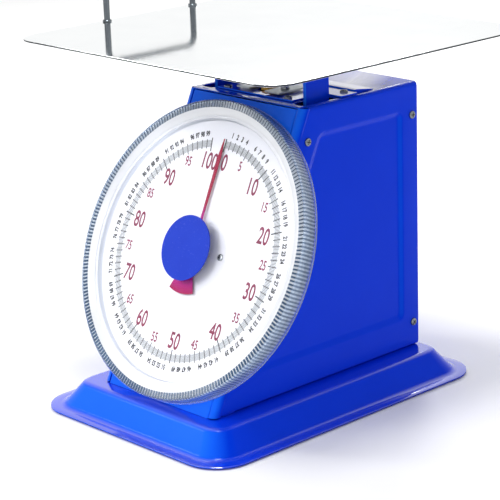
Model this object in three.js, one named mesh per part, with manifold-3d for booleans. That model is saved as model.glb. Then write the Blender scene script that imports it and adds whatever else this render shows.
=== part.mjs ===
// A 100 kg counter scale: spring movement, flat weighing pan and a large dial on a sloping front.
// Millimetres, +Z up, dial towards -Y. The origin is on the floor under the middle of the outline.
import * as THREE from 'three';
import { mergeVertices } from 'three/addons/utils/BufferGeometryUtils.js';
import Module from 'manifold-3d';

const wasm = await Module();
wasm.setup();

// Clearances
const seatGap = 0.3;
const runningGap = 0.3;
const holeGap = 0.4;
const boreGap = 0.1;
const overrun = 3;

// Base tray
const footProud = 1.5;
const traySideMargin = 50;
const trayFrontMargin = 44;
const trayBackMargin = 36;
const deckRise = 24;
const traySheet = 1.5;
const flangeWidth = 11.5;
const wallRun = 17.5;
const trayBend = 4;
const flangeCornerRadius = 36;
const wallRootCornerRadius = 27;
const deckCornerRadius = 18;

// Rubber feet and the screws that hold them and the casing
const footTopRadius = 11;
const footBottomRadius = 9;
const footSideInset = 11;
const footFrontInset = 60;
const footBackInset = 54;
const footRecessRadius = 5.5;
const footRecessDepth = 12;
const footScrewRadius = 2.5;

// Casing
const casingWidth = 154;
const casingHeight = 262;
const casingTopReach = 33.5;
const casingFrontRun = 122.5;
const casingBackReach = 116;
const casingSheet = 1.5;
const casingEdgeRadius = 3;
const casingFootWidth = 17;
const frontBendRadius = 7;
const frontLip = 0.8;
const panelEdgeRadius = 0.8;
const panelStepStart = 8;
const panelStepRun = 4;
const panelFlangeDepth = 12;
const backFlangeDepth = 15;
const backCoverInset = 0.6;

// Pressed panel in each casing side
const pressDepth = 2.5;
const pressSlopeRun = 6.5;
const pressFrontMargin = 27;
const pressBackMargin = 20;
const pressTopMargin = 25;
const pressBottomMargin = 30;
const pressCornerRadius = 8;

// Step pressed up in the casing top behind the mechanism
const stepHeight = 3;
const stepGap = 1;
const stepLand = 5;
const stepRun = 24;
const stepSideMargin = 9;

// Openings in the casing top
const topOpeningWidth = 92;
const topOpeningFront = -11;
const topOpeningBack = 28;
const postSlotInnerPlay = 4;
const postSlotOuterPlay = 8;
const postSlotFront = -25;
const postSlotBack = 18;
const postSlotRadius = 4;

// Side screws of the casing
const casingScrewRadius = 2;
const casingScrewHeadRadius = 4.1;
const casingScrewHeadHeight = 2.4;
const casingScrewLength = 7;
const lowBackScrewHeight = 25;
const lowFrontScrewHeight = 44;
const highScrewDrop = 31;
const frontScrewInset = 16;
const backScrewInset = 7.5;

// Raised plate round the posts, clamp plate and their screws
const topPlateSheet = 1.5;
const topPlateSlotMargin = 3;
const topPlateSideMargin = 4;
const topPlateFront = -22;
const topPlateShoulder = 18.5;
const topPlateBack = 40;
const topPlateWindowRadius = 11.5;
const topPlateScrewRadius = 2;
const topPlateScrewHeadRadius = 3.8;
const topPlateScrewHeadHeight = 1.8;
const topPlateScrewLength = 7;
const topPlateFrontScrewMargin = 10;
const topPlateBackScrewMargin = 11;
const topPlateFrontScrewInset = 5;
const topPlateBackScrewInset = 7;
const clampWidthShare = 0.58;
const clampDepth = 36;
const clampThickness = 1.6;
const clampCornerRadius = 3;
const clampNotchWidth = 20.5;
const clampScrewShare = 0.655;
const clampScrewRadius = 2;
const clampScrewHeadRadius = 4;
const clampScrewHeadHeight = 2.6;
const clampSpacerRadius = 4.5;
const clampSpacerHeight = 1.2;

// Dial
const dialFootGap = 0.1;
const dishInset = 4.2;
const dishSheet = 1.5;
const dishRimHeight = 5;
const dishShelfWidth = 6;
const dishBossRadius = 4.5;
const dialFaceEdgeGap = 1;
const dialFaceThickness = 0.8;
const dialFaceRise = 5.8;
const dialScrewAcross = 35;
const dialScrewRadius = 1.5;
const dialScrewHeadRadius = 3.2;
const dialScrewHeadHeight = 1.6;
const dialCentreHole = 7;

// Clear cover with its flutes and the disc on it
const coverRadius = 140.2;
const coverWall = 2;
const coverShoulderWidth = 17.2;
const coverRingWidth = 3;
const coverRingHeight = 0.7;
const coverValleyInset = 8.7;
const coverWindowRise = 13.4;
const coverValleyRise = 11.8;
const coverCrestRise = 16.6;
const coverDomeRise = 5;
const domeShares = [0, 0.5, 1];
const coverSeat = 0.6;
const coverCrestWall = 4;
const coverRimWidth = 1.2;
const coverRimHeight = 1.6;
const fluteCount = 34;
const fluteDepth = 0.8;
const fluteSkin = 0.7;
const fluteFootInset = 1.4;
const discRadius = 30.5;
const discThickness = 1.2;
const discChamfer = 0.5;

// Needle and its shaft
const shaftRadius = 2.5;
const shaftTail = 4;
const needleRise = 8.8;
const needleThickness = 0.8;
const needleEndMargin = 16.5;
const needleRootHalf = 1.5;
const needleHeadHalf = 2.2;
const needleHeadShare = 0.83;
const needleTipHalf = 0.6;
const tailRadius = 41.5;
const tailHalfAngle = 22.5;
const hubRadius = 7;
const hubRise = 7.4;
const hubHeight = 4.3;
const hubSleeveRadius = 3.8;
const hubCollarShare = 0.8;

// Rack and pinion
const gearModule = 0.8;
const pinionTeeth = 12;
const pressureAngle = 20;
const pinionWidth = 6;
const rackWidth = 5;
const rackAddendumShare = 0.7;
const rootClearanceShare = 1.25;
const flankShares = [0, 0.3, 0.65, 1];
const toothPlay = 0.16;
const rackBack = 6;
const rackEndMargin = 4;
const rackTailTeeth = 2;
const rackHeadTeeth = 14;
const rackPinRadius = 1.5;
const fullScaleTurn = 350;

// Movement plates behind the panel
const frontPlateDepth = 10;
const movementPlateSheet = 2;
const rearPlateDepth = 32;
const movementHalfWidth = 27;
const movementHalfHeight = 25;
const movementCornerRadius = 4;
const pillarAcross = 21;
const pillarUp = 19;
const pillarRadius = 3.5;
const movementScrewRadius = 1.6;
const movementScrewHeadRadius = 3.2;
const bushRadius = 5;
const bushFlangeRadius = 7.5;
const bushFlange = 1.5;
const bushLength = 3.5;
const guideWidth = 6;
const guideHalfLength = 10.7;

// Load yoke
const yokeSideMargin = 16;
const yokeStrip = 4;
const yokeStripWidth = 30;
const yokeBendRadius = 3;
const yokeTopFlange = 22;

// Pan, its support and studs
const panWidth = 348;
const panDepth = 326;
const panThickness = 2;
const panCornerRadius = 25;
const panClearance = 54.6;
const supportWidth = 200;
const supportDepth = 180;
const supportSheet = 2;
const supportRim = 10;
const supportBend = 3;
const panStudInset = 20;
const panStudRadius = 3;
const panStudLength = 9;
const supportScrewRadius = 2.5;
const supportScrewHeadRadius = 4.5;
const supportScrewHeadHeight = 2.5;
const supportScrewInset = 14;
const supportScrewAlong = 8;

// Pan rail
const railRodRadius = 3;
const railLength = 110;
const railRise = 40;
const railBend = 10;
const railEdgeMargin = 7;
const railTail = 8;
const railCollarRadius = 4.4;
const railCollarHeight = 1.5;

// Levers
const leverRodInset = 20.4;
const leverSideGap = 2.5;
const leverSheet = 2.5;
const leverHalfHeight = 7;
const leverWebNear = 30;
const leverWebFar = 50;
const leverPinRadius = 3;
const leverPinTail = 2.5;
const leverPinHeadRadius = 5;
const leverPinHeadHeight = 2;
const upperLeverDrop = 21;
const lowerLeverHeight = 24;
const clipRadius = 5.5;
const clipThickness = 1;

// Mechanism frame and bridge
const frameLeverGap = 5.5;
const frameSheet = 2.5;
const frameColumnDepth = 30;
const frameArmHeight = 20;
const frameArmGap = 1;
const frameGusset = 44;
const frameFootWidth = 11;
const frameFlangeWidth = 12;
const frameWindowMargin = 10;
const frameBoltRadius = 3;
const frameBoltHeadRadius = 5.4;
const frameBoltHeadHeight = 3.6;
const bridgeThickness = 4;
const bridgeTopDrop = 3.5;
const bridgeDepth = 30;
const bridgeScrewInset = 8.5;
const bridgeScrewAlong = 9;
const bridgeScrewRadius = 2.5;
const bridgeScrewHeadRadius = 4.5;
const bridgeScrewHeadHeight = 1.8;
const bridgeScrewProud = 2.5;

// Spring hanger and zero setting
const hangerDrop = 25.3;
const hangerThickness = 6;
const hangerSideGap = 5.5;
const hangerDepth = 18;
const adjusterRadius = 4;
const adjusterTail = 9;
const knobRadius = 9.3;
const knobHeight = 8;
const knobKnurls = 24;
const knobKnurlDepth = 0.5;
const knobTopDrop = 0.8;
const nutHeightShare = 1.6;
const studProud = 0.9;
const nutAcrossShare = 1.62;

// Main springs
const springSideGap = 1;
const springCoilRadius = 11;
const springWire = 4;
const springPitch = 4.5;
const springTurns = 13;
const springStepsPerTurn = 8;
const springSides = 5;
const coilCheckSteps = 32;
const plugCollarRadius = 12;
const plugCollarHeight = 3;
const plugLength = 9;
const plugStudRadius = 4;
const plugStudLength = 11.1;

// Spring channel and crossbar of the yoke
const channelSheet = 2.5;
const channelDepth = 26;
const channelFlange = 12;
const channelTab = 16;
const crossbarDrop = 51.8;
const crossbarHeight = 26;
const crossbarSheet = 2;
const crossbarTab = 15;
const crossbarScrewAlong = 7.5;
const yokeScrewRadius = 2.5;
const yokeScrewHeadRadius = 5;
const yokeScrewHeadHeight = 2.5;
const yokeScrewProud = 2.5;

// Rack hanger
const hangerEarSheet = 2;
const hangerEarHalfHeight = 6.5;
const hangerEarGap = 0.5;
const hangerEndMargin = 3;
const hangerScrewAcross = 14;
const hangerScrewHeadRadius = 4.5;
const hangerEdgeMargin = 5;

// Overload stop
const stopHeight = 3.24;
const stopRadius = 14;
const stopTopRadius = 11.2;
const stopPlay = 0.4;

// Roundness
const roundSides = 12;
const dialSides = 34;
const cornerSteps = 4;
const panCornerSteps = 4;
const supportCornerSteps = 2;
const bendSteps = 2;
const holeSides = 8;
const screwSides = 6;
const hexSides = 6;
const discSides = 20;
const tailSteps = 8;
const straightLimit = 0.01;
const screwCrownShare = 0.7;
const railSteps = 16;
const railSides = 8;

// Casing and tray that follow from the sizes above
const flangeTop = footProud + traySheet;
const deckTop = footProud + deckRise;
const deckUnder = deckTop - traySheet;
const casingBottom = deckTop + seatGap;
const casingTop = casingBottom + casingHeight;
const casingFront = -casingTopReach - casingFrontRun;
const casingDepth = casingBackReach - casingFront;
const slope = Math.atan(casingFrontRun / casingHeight);
const trayFront = casingFront - trayFrontMargin;
const trayBack = casingBackReach + trayBackMargin;
const footAcross = casingWidth / 2 - footSideInset;
const stepFront = topPlateBack + stepGap;
const highScrewHeight = casingHeight - highScrewDrop;

// Dial and movement that follow
const coverWindowRadius = coverRadius - coverShoulderWidth;
const coverValleyRadius = coverRadius - coverValleyInset;
const dishRadius = coverRadius - dishInset;
const dialFaceRadius = coverWindowRadius - dialFaceEdgeGap;
const dishShelfRadius = dialFaceRadius - dishShelfWidth;
const needleReach = dialFaceRadius - needleEndMargin;
const dialRise = coverRadius + coverRimWidth + dialFootGap;
const gearPlane = (frontPlateDepth + movementPlateSheet + rearPlateDepth) / 2;
const shaftBack = rearPlateDepth + movementPlateSheet + shaftTail;
const pitchRadius = gearModule * pinionTeeth / 2;
const rackTravel = pitchRadius * THREE.MathUtils.degToRad(fullScaleTurn);
const loadTravel = rackTravel * Math.cos(slope);

// Widths across that follow from the casing's
const yokeAcross = casingWidth - yokeSideMargin * 2;
const yokeInside = yokeAcross / 2 - yokeStrip;
const postSlotInner = yokeInside - postSlotInnerPlay;
const postSlotOuter = yokeAcross / 2 + postSlotOuterPlay;
const topPlateFrontHalf = postSlotInner - topPlateSlotMargin;
const topPlateBackHalf = casingWidth / 2 - topPlateSideMargin;
const clampHalf = topPlateFrontHalf * clampWidthShare;
const clampScrewAcross = clampHalf * clampScrewShare;
const leverAcross = yokeInside - leverSideGap;
const frameAcross = (leverAcross - leverSheet - frameLeverGap) * 2;
const hangerWidth = frameAcross - hangerSideGap * 2;
const springAcross = frameAcross / 2 - frameSheet - springSideGap - springCoilRadius - springWire / 2;
const bridgeScrewAcross = frameAcross / 2 - bridgeScrewInset;
const supportScrewAcross = yokeAcross / 2 - supportScrewInset;

// Heights and depths inside the casing and over it
const panRise = casingTop + panClearance;
const panBottom = panRise - panThickness;
const outlineShift = -(trayFront + panDepth / 2) / 2;
const bridgeTop = casingTop - bridgeTopDrop;
const bridgeBottom = bridgeTop - bridgeThickness;
const frameTop = bridgeBottom - seatGap;
const frameBack = casingBackReach - backCoverInset - casingSheet - backScrewInset;
const frameArmReach = yokeStripWidth / 2 - frameArmGap;
const topPlateBottom = casingTop + seatGap;
const topPlateTop = topPlateBottom + topPlateSheet;
const hangerRise = bridgeBottom - hangerDrop;
const springTop = hangerRise - seatGap - plugCollarHeight - seatGap;
const springBottom = springTop - springPitch * springTurns - springWire;
const lowerPlugFace = springBottom - seatGap - plugCollarHeight;
const channelRise = lowerPlugFace - plugStudLength - channelSheet;
const crossbarRise = casingTop - crossbarDrop;
const yokeTop = panBottom - seatGap - supportSheet - seatGap;
const yokeBottom = deckTop + seatGap + stopHeight + stopPlay + loadTravel;
const upperLeverRise = crossbarRise - upperLeverDrop;
const lowerLeverRise = yokeBottom + lowerLeverHeight;
const leverReach = frameBack - leverRodInset;
const leverSwing = Math.atan(loadTravel / 2 / leverReach);

const steelBlue = new THREE.Color('#1238d8');

function finish(color, roughness, metalness) {
  return new THREE.MeshStandardMaterial({ color, roughness, metalness });
}

const finishes = {
  bluePaint: () => finish(steelBlue, 0.2, 0.1),
  polishedSteel: () => finish('#dfe3e6', 0.05, 1),
  zincSteel: () => finish('#c4c8c6', 0.35, 0.9),
  plainSteel: () => finish('#8c9196', 0.4, 0.9),
  springSteel: () => finish('#5c6166', 0.35, 0.9),
  brass: () => finish('#b88a3c', 0.35, 1),
  rubber: () => finish('#1c1c1c', 0.8, 0),
  whiteFace: () => finish('#f4f4f6', 0.5, 0),
  clearPlastic: () => new THREE.MeshStandardMaterial({
    color: '#e8eef2', roughness: 0.05, metalness: 0, transparent: true, opacity: 0.35,
  }),
  blueLabel: () => finish('#2347a8', 0.4, 0),
  redNeedle: () => finish('#c01230', 0.4, 0),
};

const scale = new THREE.Group();
scale.position.y = outlineShift;

// Everything on the dial sits in this group: x across, y up the slope, z out of the sloping face
const dial = new THREE.Group();
dial.position.set(0, casingFront + dialRise * Math.sin(slope), casingBottom + dialRise * Math.cos(slope));
dial.rotation.x = Math.PI / 2 - slope;
dial.updateMatrix();

// The rack's pin stands at the crossbar's middle height
const pinRise = crossbarRise + crossbarHeight / 2;
const rackReach = (pinRise - dial.position.z) / Math.cos(slope) + gearPlane * Math.tan(slope);
scale.add(dial);

// Closed solid from a geometry, with its shared vertices merged and its faces turned out
function solidOf(geometry) {
  const bare = geometry.clone();
  bare.deleteAttribute('normal');
  bare.deleteAttribute('uv');
  const merged = mergeVertices(bare);
  const places = merged.getAttribute('position');
  const index = merged.getIndex();
  const corners = [];
  let volume = 0;
  const [a, b, c] = [new THREE.Vector3(), new THREE.Vector3(), new THREE.Vector3()];
  for (let i = 0; i < index.count; i += 3) {
    const [ia, ib, ic] = [index.getX(i), index.getX(i + 1), index.getX(i + 2)];
    if (ia === ib || ib === ic || ic === ia) {
      continue;
    }
    corners.push(ia, ib, ic);
    a.fromBufferAttribute(places, ia);
    b.fromBufferAttribute(places, ib);
    c.fromBufferAttribute(places, ic);
    volume += a.dot(b.cross(c));
  }
  if (volume < 0) {
    corners.reverse();
  }
  return new wasm.Manifold(new wasm.Mesh({
    numProp: 3,
    vertProperties: new Float32Array(places.array),
    triVerts: new Uint32Array(corners),
  }));
}

function join(...solids) {
  return solids.reduce((whole, solid) => whole.add(solid));
}

function cut(solid, ...tools) {
  return tools.reduce((rest, tool) => rest.subtract(tool), solid);
}

function piece(name, solid, material, parent = scale) {
  const body = solid.getMesh();
  const geometry = new THREE.BufferGeometry();
  geometry.setAttribute('position', new THREE.BufferAttribute(new Float32Array(body.vertProperties), 3));
  geometry.setIndex(new THREE.BufferAttribute(new Uint32Array(body.triVerts), 1));
  geometry.computeVertexNormals();
  const mesh = new THREE.Mesh(geometry, material);
  mesh.name = name;
  parent.add(mesh);
  return mesh;
}

function point(x, y, z) {
  return new THREE.Vector3(x, y, z);
}

function block(x0, x1, y0, y1, z0, z1) {
  const box = new THREE.BoxGeometry(x1 - x0, y1 - y0, z1 - z0);
  box.translate((x0 + x1) / 2, (y0 + y1) / 2, (z0 + z1) / 2);
  return solidOf(box);
}

// Round bar between two points; endRadius makes it a cone
function bar(radius, from, to, sides = roundSides, endRadius = radius) {
  const along = new THREE.Vector3().subVectors(to, from);
  const cylinder = new THREE.CylinderGeometry(endRadius, radius, along.length(), sides);
  const turn = new THREE.Quaternion().setFromUnitVectors(point(0, 1, 0), along.clone().normalize());
  cylinder.applyQuaternion(turn);
  cylinder.translate((from.x + to.x) / 2, (from.y + to.y) / 2, (from.z + to.z) / 2);
  return solidOf(cylinder);
}

// Clearance hole between two points
function hole(radius, from, to) {
  return bar(radius, from, to, holeSides);
}

// Clearance holes for shanks that stand at the places given, through a stretch of height
function holesAt(places, shankRadius, low, high) {
  return places.map(({ x, y }) => hole(
    shankRadius + holeGap, point(x, y, low - overrun), point(x, y, high + overrun)));
}

// Body of revolution round Z from [radius, height] pairs
function turned(profile, sides = roundSides) {
  const points = profile.map(([radius, height]) => new THREE.Vector2(radius, height));
  const lathe = new THREE.LatheGeometry(points, sides);
  lathe.rotateX(Math.PI / 2);
  return solidOf(lathe);
}

// Ring with a square section round Z
function ring(inner, outer, low, high, sides = roundSides) {
  return turned([[inner, low], [outer, low], [outer, high], [inner, high], [inner, low]], sides);
}

// Outline with every corner rounded; a corner is [x, y] or [x, y, its own radius]
function roundedOutline(corners, radius = 0, steps = bendSteps) {
  const outline = [];
  corners.forEach(([x, y, own], i) => {
    const corner = new THREE.Vector2(x, y);
    const before = corners[(i + corners.length - 1) % corners.length];
    const after = corners[(i + 1) % corners.length];
    const toBefore = new THREE.Vector2(before[0], before[1]).sub(corner).normalize();
    const toAfter = new THREE.Vector2(after[0], after[1]).sub(corner).normalize();
    const bend = own ?? radius;
    const half = Math.acos(THREE.MathUtils.clamp(toBefore.dot(toAfter), -1, 1)) / 2;
    if (bend <= 0 || Math.PI / 2 - half < straightLimit) {
      outline.push(corner);
      return;
    }
    const middle = toBefore.clone().add(toAfter).setLength(bend / Math.sin(half)).add(corner);
    const start = toBefore.clone().multiplyScalar(bend / Math.tan(half)).add(corner).sub(middle);
    const end = toAfter.clone().multiplyScalar(bend / Math.tan(half)).add(corner).sub(middle);
    const sweep = Math.atan2(start.cross(end), start.dot(end));
    for (let step = 0; step <= steps; step += 1) {
      outline.push(start.clone().rotateAround(new THREE.Vector2(), sweep * step / steps).add(middle));
    }
  });
  return outline;
}

function rectangle(x0, x1, y0, y1) {
  return [[x0, y0], [x1, y0], [x1, y1], [x0, y1]];
}

// Outline of a sheet of even thickness bent along a centre path [x, y] or [x, y, its own inner radius]
function bentStrip(path, thickness, innerRadius) {
  const corners = path.map(([x, y]) => new THREE.Vector2(x, y));
  const side = (sign) => path.map(([, , own], i) => {
    const here = corners[i];
    const before = i > 0 ? here.clone().sub(corners[i - 1]).normalize() : null;
    const after = i < path.length - 1 ? corners[i + 1].clone().sub(here).normalize() : null;
    const enter = before ?? after;
    const leave = after ?? before;
    const turn = enter.cross(leave);
    const mitre = enter.clone().add(leave).normalize();
    const bendAngle = Math.acos(THREE.MathUtils.clamp(enter.dot(leave), -1, 1));
    const offset = sign * thickness / 2 / Math.cos(bendAngle / 2);
    const isEnd = before === null || after === null;
    const isInner = turn * sign > 0;
    const bend = isEnd || turn === 0 ? 0 : (own ?? innerRadius) + (isInner ? 0 : thickness);
    return [here.x - mitre.y * offset, here.y + mitre.x * offset, bend];
  });
  return roundedOutline([...side(1), ...side(-1).reverse()]);
}

function extruded(outline, depth) {
  return new THREE.ExtrudeGeometry(new THREE.Shape(outline), { depth, bevelEnabled: false });
}

// Outline in x and y, from one height to another
function flat(outline, low, high) {
  const body = extruded(outline, high - low);
  body.translate(0, 0, low);
  return solidOf(body);
}

// Outline in y and z, from one x to another
function facingX(outline, low, high) {
  const body = extruded(outline, high - low);
  body.applyMatrix4(new THREE.Matrix4().makeBasis(point(0, 1, 0), point(0, 0, 1), point(1, 0, 0)));
  body.translate(low, 0, 0);
  return solidOf(body);
}

// Outline in x and z, from one y to another
function facingY(outline, low, high) {
  const body = extruded(outline, high - low);
  body.applyMatrix4(new THREE.Matrix4().makeBasis(point(1, 0, 0), point(0, 0, 1), point(0, -1, 0)));
  body.translate(0, high, 0);
  return solidOf(body);
}

// Skin over a run of outlines with equal counts; loop true closes it on itself, false caps both ends
function lofted(rings, loop = false) {
  const count = rings[0].length;
  const places = rings.flatMap((outline) => outline.flatMap((corner) => [corner.x, corner.y, corner.z]));
  const faces = [];
  const spans = loop ? rings.length : rings.length - 1;
  for (let i = 0; i < spans; i += 1) {
    const low = i * count;
    const high = ((i + 1) % rings.length) * count;
    for (let j = 0; j < count; j += 1) {
      const next = (j + 1) % count;
      faces.push(low + j, low + next, high + next, low + j, high + next, high + j);
    }
  }
  if (!loop) {
    const cap = THREE.ShapeUtils.triangulateShape(rings[0].map(({ x, y }) => new THREE.Vector2(x, y)), []);
    const last = (rings.length - 1) * count;
    cap.forEach(([a, b, c]) => faces.push(c, b, a, last + a, last + b, last + c));
  }
  const skin = new THREE.BufferGeometry();
  skin.setAttribute('position', new THREE.BufferAttribute(new Float32Array(places), 3));
  skin.setIndex(faces);
  return solidOf(skin);
}

// Low and high end of a stretch that lies on the left or the right side
function span(side, near, far) {
  return side > 0 ? [near, far] : [-far, -near];
}

// Runs a maker for the left and the right side and joins what it returns
function bothSides(make) {
  return join(make(-1), make(1));
}

// Hexagon nut, one with the stud that it is screwed on
function nut(studRadius, x, y, low) {
  const corner = studRadius * nutAcrossShare / Math.cos(Math.PI / hexSides);
  return bar(corner, point(x, y, low), point(x, y, low + studRadius * nutHeightShare), hexSides);
}

// Screw whose head stands outwards from its seat and whose shank runs to the end point
function screw(shankRadius, headRadius, headHeight, seat, end, sides = screwSides) {
  const outward = new THREE.Vector3().subVectors(seat, end).normalize();
  const crown = seat.clone().addScaledVector(outward, headHeight);
  const inside = seat.clone().addScaledVector(outward, headHeight / 2);
  return join(
    bar(shankRadius, inside, end, screwSides),
    bar(headRadius, seat, crown, sides, headRadius * screwCrownShare));
}

function trayRing(inset, cornerRadius, height) {
  const halfWidth = casingWidth / 2 + traySideMargin - inset;
  const corners = rectangle(-halfWidth, halfWidth, trayFront + inset, trayBack - inset);
  return roundedOutline(corners, cornerRadius, cornerSteps).map(({ x, y }) => point(x, y, height));
}

function footPlaces() {
  const rows = [casingFront + footFrontInset, casingBackReach - footBackInset];
  return rows.flatMap((y) => [point(-footAcross, y, 0), point(footAcross, y, 0)]);
}

function frameBoltPlaces() {
  const across = frameAcross / 2 + frameFootWidth / 2;
  return [-across, across].map((x) => point(x, frameBack - frameColumnDepth / 2, 0));
}

function baseTray() {
  const deckInset = flangeWidth + wallRun;
  const softened = trayBend * (1 - Math.SQRT1_2);
  const upper = [
    [deckInset + trayBend, deckCornerRadius, deckTop],
    [deckInset + softened, deckCornerRadius, deckTop - softened],
    [deckInset, deckCornerRadius, deckTop - trayBend],
    [flangeWidth + trayBend - softened, wallRootCornerRadius, flangeTop + trayBend],
    [flangeWidth, wallRootCornerRadius, flangeTop + softened],
    [flangeWidth - trayBend, wallRootCornerRadius + trayBend, flangeTop],
    [0, flangeCornerRadius, flangeTop],
  ];
  const lower = upper.slice(0, -1).reverse()
    .map(([inset, radius, height]) => [inset + traySheet, radius, height - traySheet]);
  const edge = [0, flangeCornerRadius, footProud];
  const skin = lofted([...upper, edge, ...lower].map((row) => trayRing(...row)));
  const holes = holesAt(frameBoltPlaces(), frameBoltRadius, deckUnder, deckTop);
  return join(cut(skin, ...holes), ...footScrews());
}

function rubberFoot({ x, y }) {
  const top = deckUnder - seatGap;
  return turned([
    [footScrewRadius + holeGap, footRecessDepth], [footRecessRadius, footRecessDepth], [footRecessRadius, 0],
    [footBottomRadius, 0], [footTopRadius, top], [footScrewRadius + holeGap, top],
    [footScrewRadius + holeGap, footRecessDepth],
  ]).translate([x, y, 0]);
}

// Each foot's screw runs on up through the deck and holds the casing's bottom flange with a nut
function footScrews() {
  const nutSeat = casingBottom + casingSheet + seatGap;
  const headRadius = footRecessRadius - seatGap - boreGap;
  return footPlaces().map(({ x, y }) => join(
    screw(footScrewRadius, headRadius, footScrewRadius, point(x, y, footRecessDepth - seatGap),
      point(x, y, nutSeat + footScrewRadius * nutHeightShare + studProud)),
    nut(footScrewRadius, x, y, nutSeat)));
}

// Side screw seats on the casing: in the panel's flange at the front, in the back cover's flange behind
function casingScrewSeats() {
  const front = [lowFrontScrewHeight, highScrewHeight].map((height) => point(
    0, casingFront + height * Math.tan(slope) + frontScrewInset / Math.cos(slope), casingBottom + height));
  const back = [lowBackScrewHeight, highScrewHeight].map((height) => point(
    0, casingBackReach - backScrewInset, casingBottom + height));
  return [...front, ...back];
}

function casingScrewHoles() {
  const reach = casingWidth / 2 + overrun;
  return casingScrewSeats().map(({ y, z }) => (
    hole(casingScrewRadius + holeGap, point(-reach, y, z), point(reach, y, z))));
}

function casingScrews() {
  const seat = casingWidth / 2 - boreGap;
  return bothSides((side) => join(...casingScrewSeats().map(({ y, z }) => screw(
    casingScrewRadius, casingScrewHeadRadius, casingScrewHeadHeight,
    point(side * seat, y, z), point(side * (seat - casingScrewLength), y, z)))));
}

// Four-cornered panel whose front edge follows the sloping face
function pressCorners(grow) {
  const low = casingBottom + pressBottomMargin - grow;
  const high = casingTop - pressTopMargin + grow;
  const back = casingBackReach - pressBackMargin + grow;
  const front = (z) => casingFront + (z - casingBottom) * Math.tan(slope)
    + (pressFrontMargin - grow) / Math.cos(slope);
  return [[front(low), low], [back, low], [back, high], [front(high), high]];
}

function pressRing(x, grow) {
  const radius = pressCornerRadius + grow;
  return roundedOutline(pressCorners(grow), radius).map((p) => point(x, p.x, p.y));
}

// Dished body of the pressed panel: floor inside, rim at the sheet, straight on outwards
function pressBody(side, shift, grow) {
  const sheetFace = casingWidth / 2 - shift;
  const floor = sheetFace - pressDepth;
  const rings = [
    pressRing(side * floor, grow - pressSlopeRun),
    pressRing(side * sheetFace, grow),
    pressRing(side * (sheetFace + shift + overrun), grow),
  ];
  return loftedAcross(rings);
}

// Loft whose rings lie in planes of constant x
function loftedAcross(rings) {
  const turnedRings = rings.map((outline) => outline.map(({ x, y, z }) => point(y, z, x)));
  return lofted(turnedRings).rotate([90, 0, 90]);
}

function stepWedge(shrink) {
  const top = casingTop + stepHeight - shrink;
  const front = stepFront - (shrink > 0 ? overrun : 0);
  const end = stepFront + stepLand + stepRun - shrink;
  const half = casingWidth / 2 - stepSideMargin - shrink;
  const outline = [
    [front, casingTop - casingSheet], [end, casingTop - casingSheet], [end, casingTop - shrink],
    [stepFront + stepLand, top], [front, top],
  ];
  return facingX(outline.map(([y, z]) => new THREE.Vector2(y, z)), -half, half);
}

const seamHalf = casingWidth / 2 - frontBendRadius - frontLip;
const seamDepth = casingSheet + panelEdgeRadius;

// Outline in u and n, run along the sloping face
function alongSlope(outline) {
  const body = extruded(outline, casingHeight * 2);
  body.applyMatrix4(new THREE.Matrix4().makeBasis(point(1, 0, 0), point(0, 0, 1), point(0, -1, 0)));
  body.translate(0, casingHeight, 0);
  return solidOf(body).transform(dial.matrix.elements);
}

// Solid that fills the casing up to an inset from its outer faces
function casingBlock(inset, end) {
  const half = casingWidth / 2 - inset;
  const outline = roundedOutline(
    rectangle(-half, half, casingBottom + inset, casingTop - inset), casingEdgeRadius + casingSheet - inset);
  const bend = frontBendRadius - inset;
  const sloping = roundedOutline([
    [-half, -casingDepth], [half, -casingDepth], [half, -inset, bend], [-half, -inset, bend],
  ]);
  return facingY(outline, casingFront - overrun, end).intersect(alongSlope(sloping));
}

// Bent sheet with its side walls carried round the front edges to the seams
function shellSheet() {
  const hollow = casingBlock(casingSheet, casingBackReach + overrun);
  const gap = casingWidth / 2 - casingFootWidth;
  const bottomGap = block(-gap, gap, casingFront - overrun, casingBackReach + overrun,
    casingBottom - overrun, casingBottom + casingSheet + boreGap);
  const topSheet = block(-casingWidth, casingWidth, casingFront, casingBackReach,
    casingTop - casingSheet - boreGap, casingTop + overrun);
  const front = alongSlope(
    rectangle(-seamHalf, seamHalf, -seamDepth - seatGap, overrun).map(([x, y]) => new THREE.Vector2(x, y)));
  return cut(casingBlock(0, casingBackReach), hollow, bottomGap, cut(front, topSheet));
}

function topOpenings() {
  const [low, high] = [casingTop - casingSheet, casingTop];
  const outlines = [
    rectangle(-topOpeningWidth / 2, topOpeningWidth / 2, topOpeningFront, topOpeningBack),
    ...[-1, 1].map((side) => rectangle(
      ...span(side, postSlotInner, postSlotOuter), postSlotFront, postSlotBack)),
  ].map((corners) => roundedOutline(corners, postSlotRadius));
  return [
    ...outlines.map((outline) => flat(outline, low - overrun, high + overrun)),
    ...holesAt(topPlateScrewPlaces(), topPlateScrewRadius, low, high),
  ];
}

function casingShell() {
  const bumps = [-1, 1].map((side) => pressBody(side, casingSheet, casingSheet));
  const dishes = [-1, 1].map((side) => pressBody(side, 0, 0));
  const outside = [-1, 1].map((side) => block(
    ...span(side, casingWidth / 2, casingWidth), casingFront, casingBackReach, casingBottom, casingTop));
  const footHoles = holesAt(footPlaces(), footScrewRadius, casingBottom, casingBottom + casingSheet);
  const raised = join(shellSheet(), ...bumps.map((bump) => cut(bump, ...outside)), stepWedge(0));
  const pressed = cut(raised, ...dishes);
  return join(cut(pressed, stepWedge(casingSheet), ...topOpenings(), ...footHoles), casingScrews());
}

// Space that pieces inside the casing may fill
function insideCasing() {
  return casingBlock(casingSheet + seatGap, casingBackReach + overrun);
}

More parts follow.
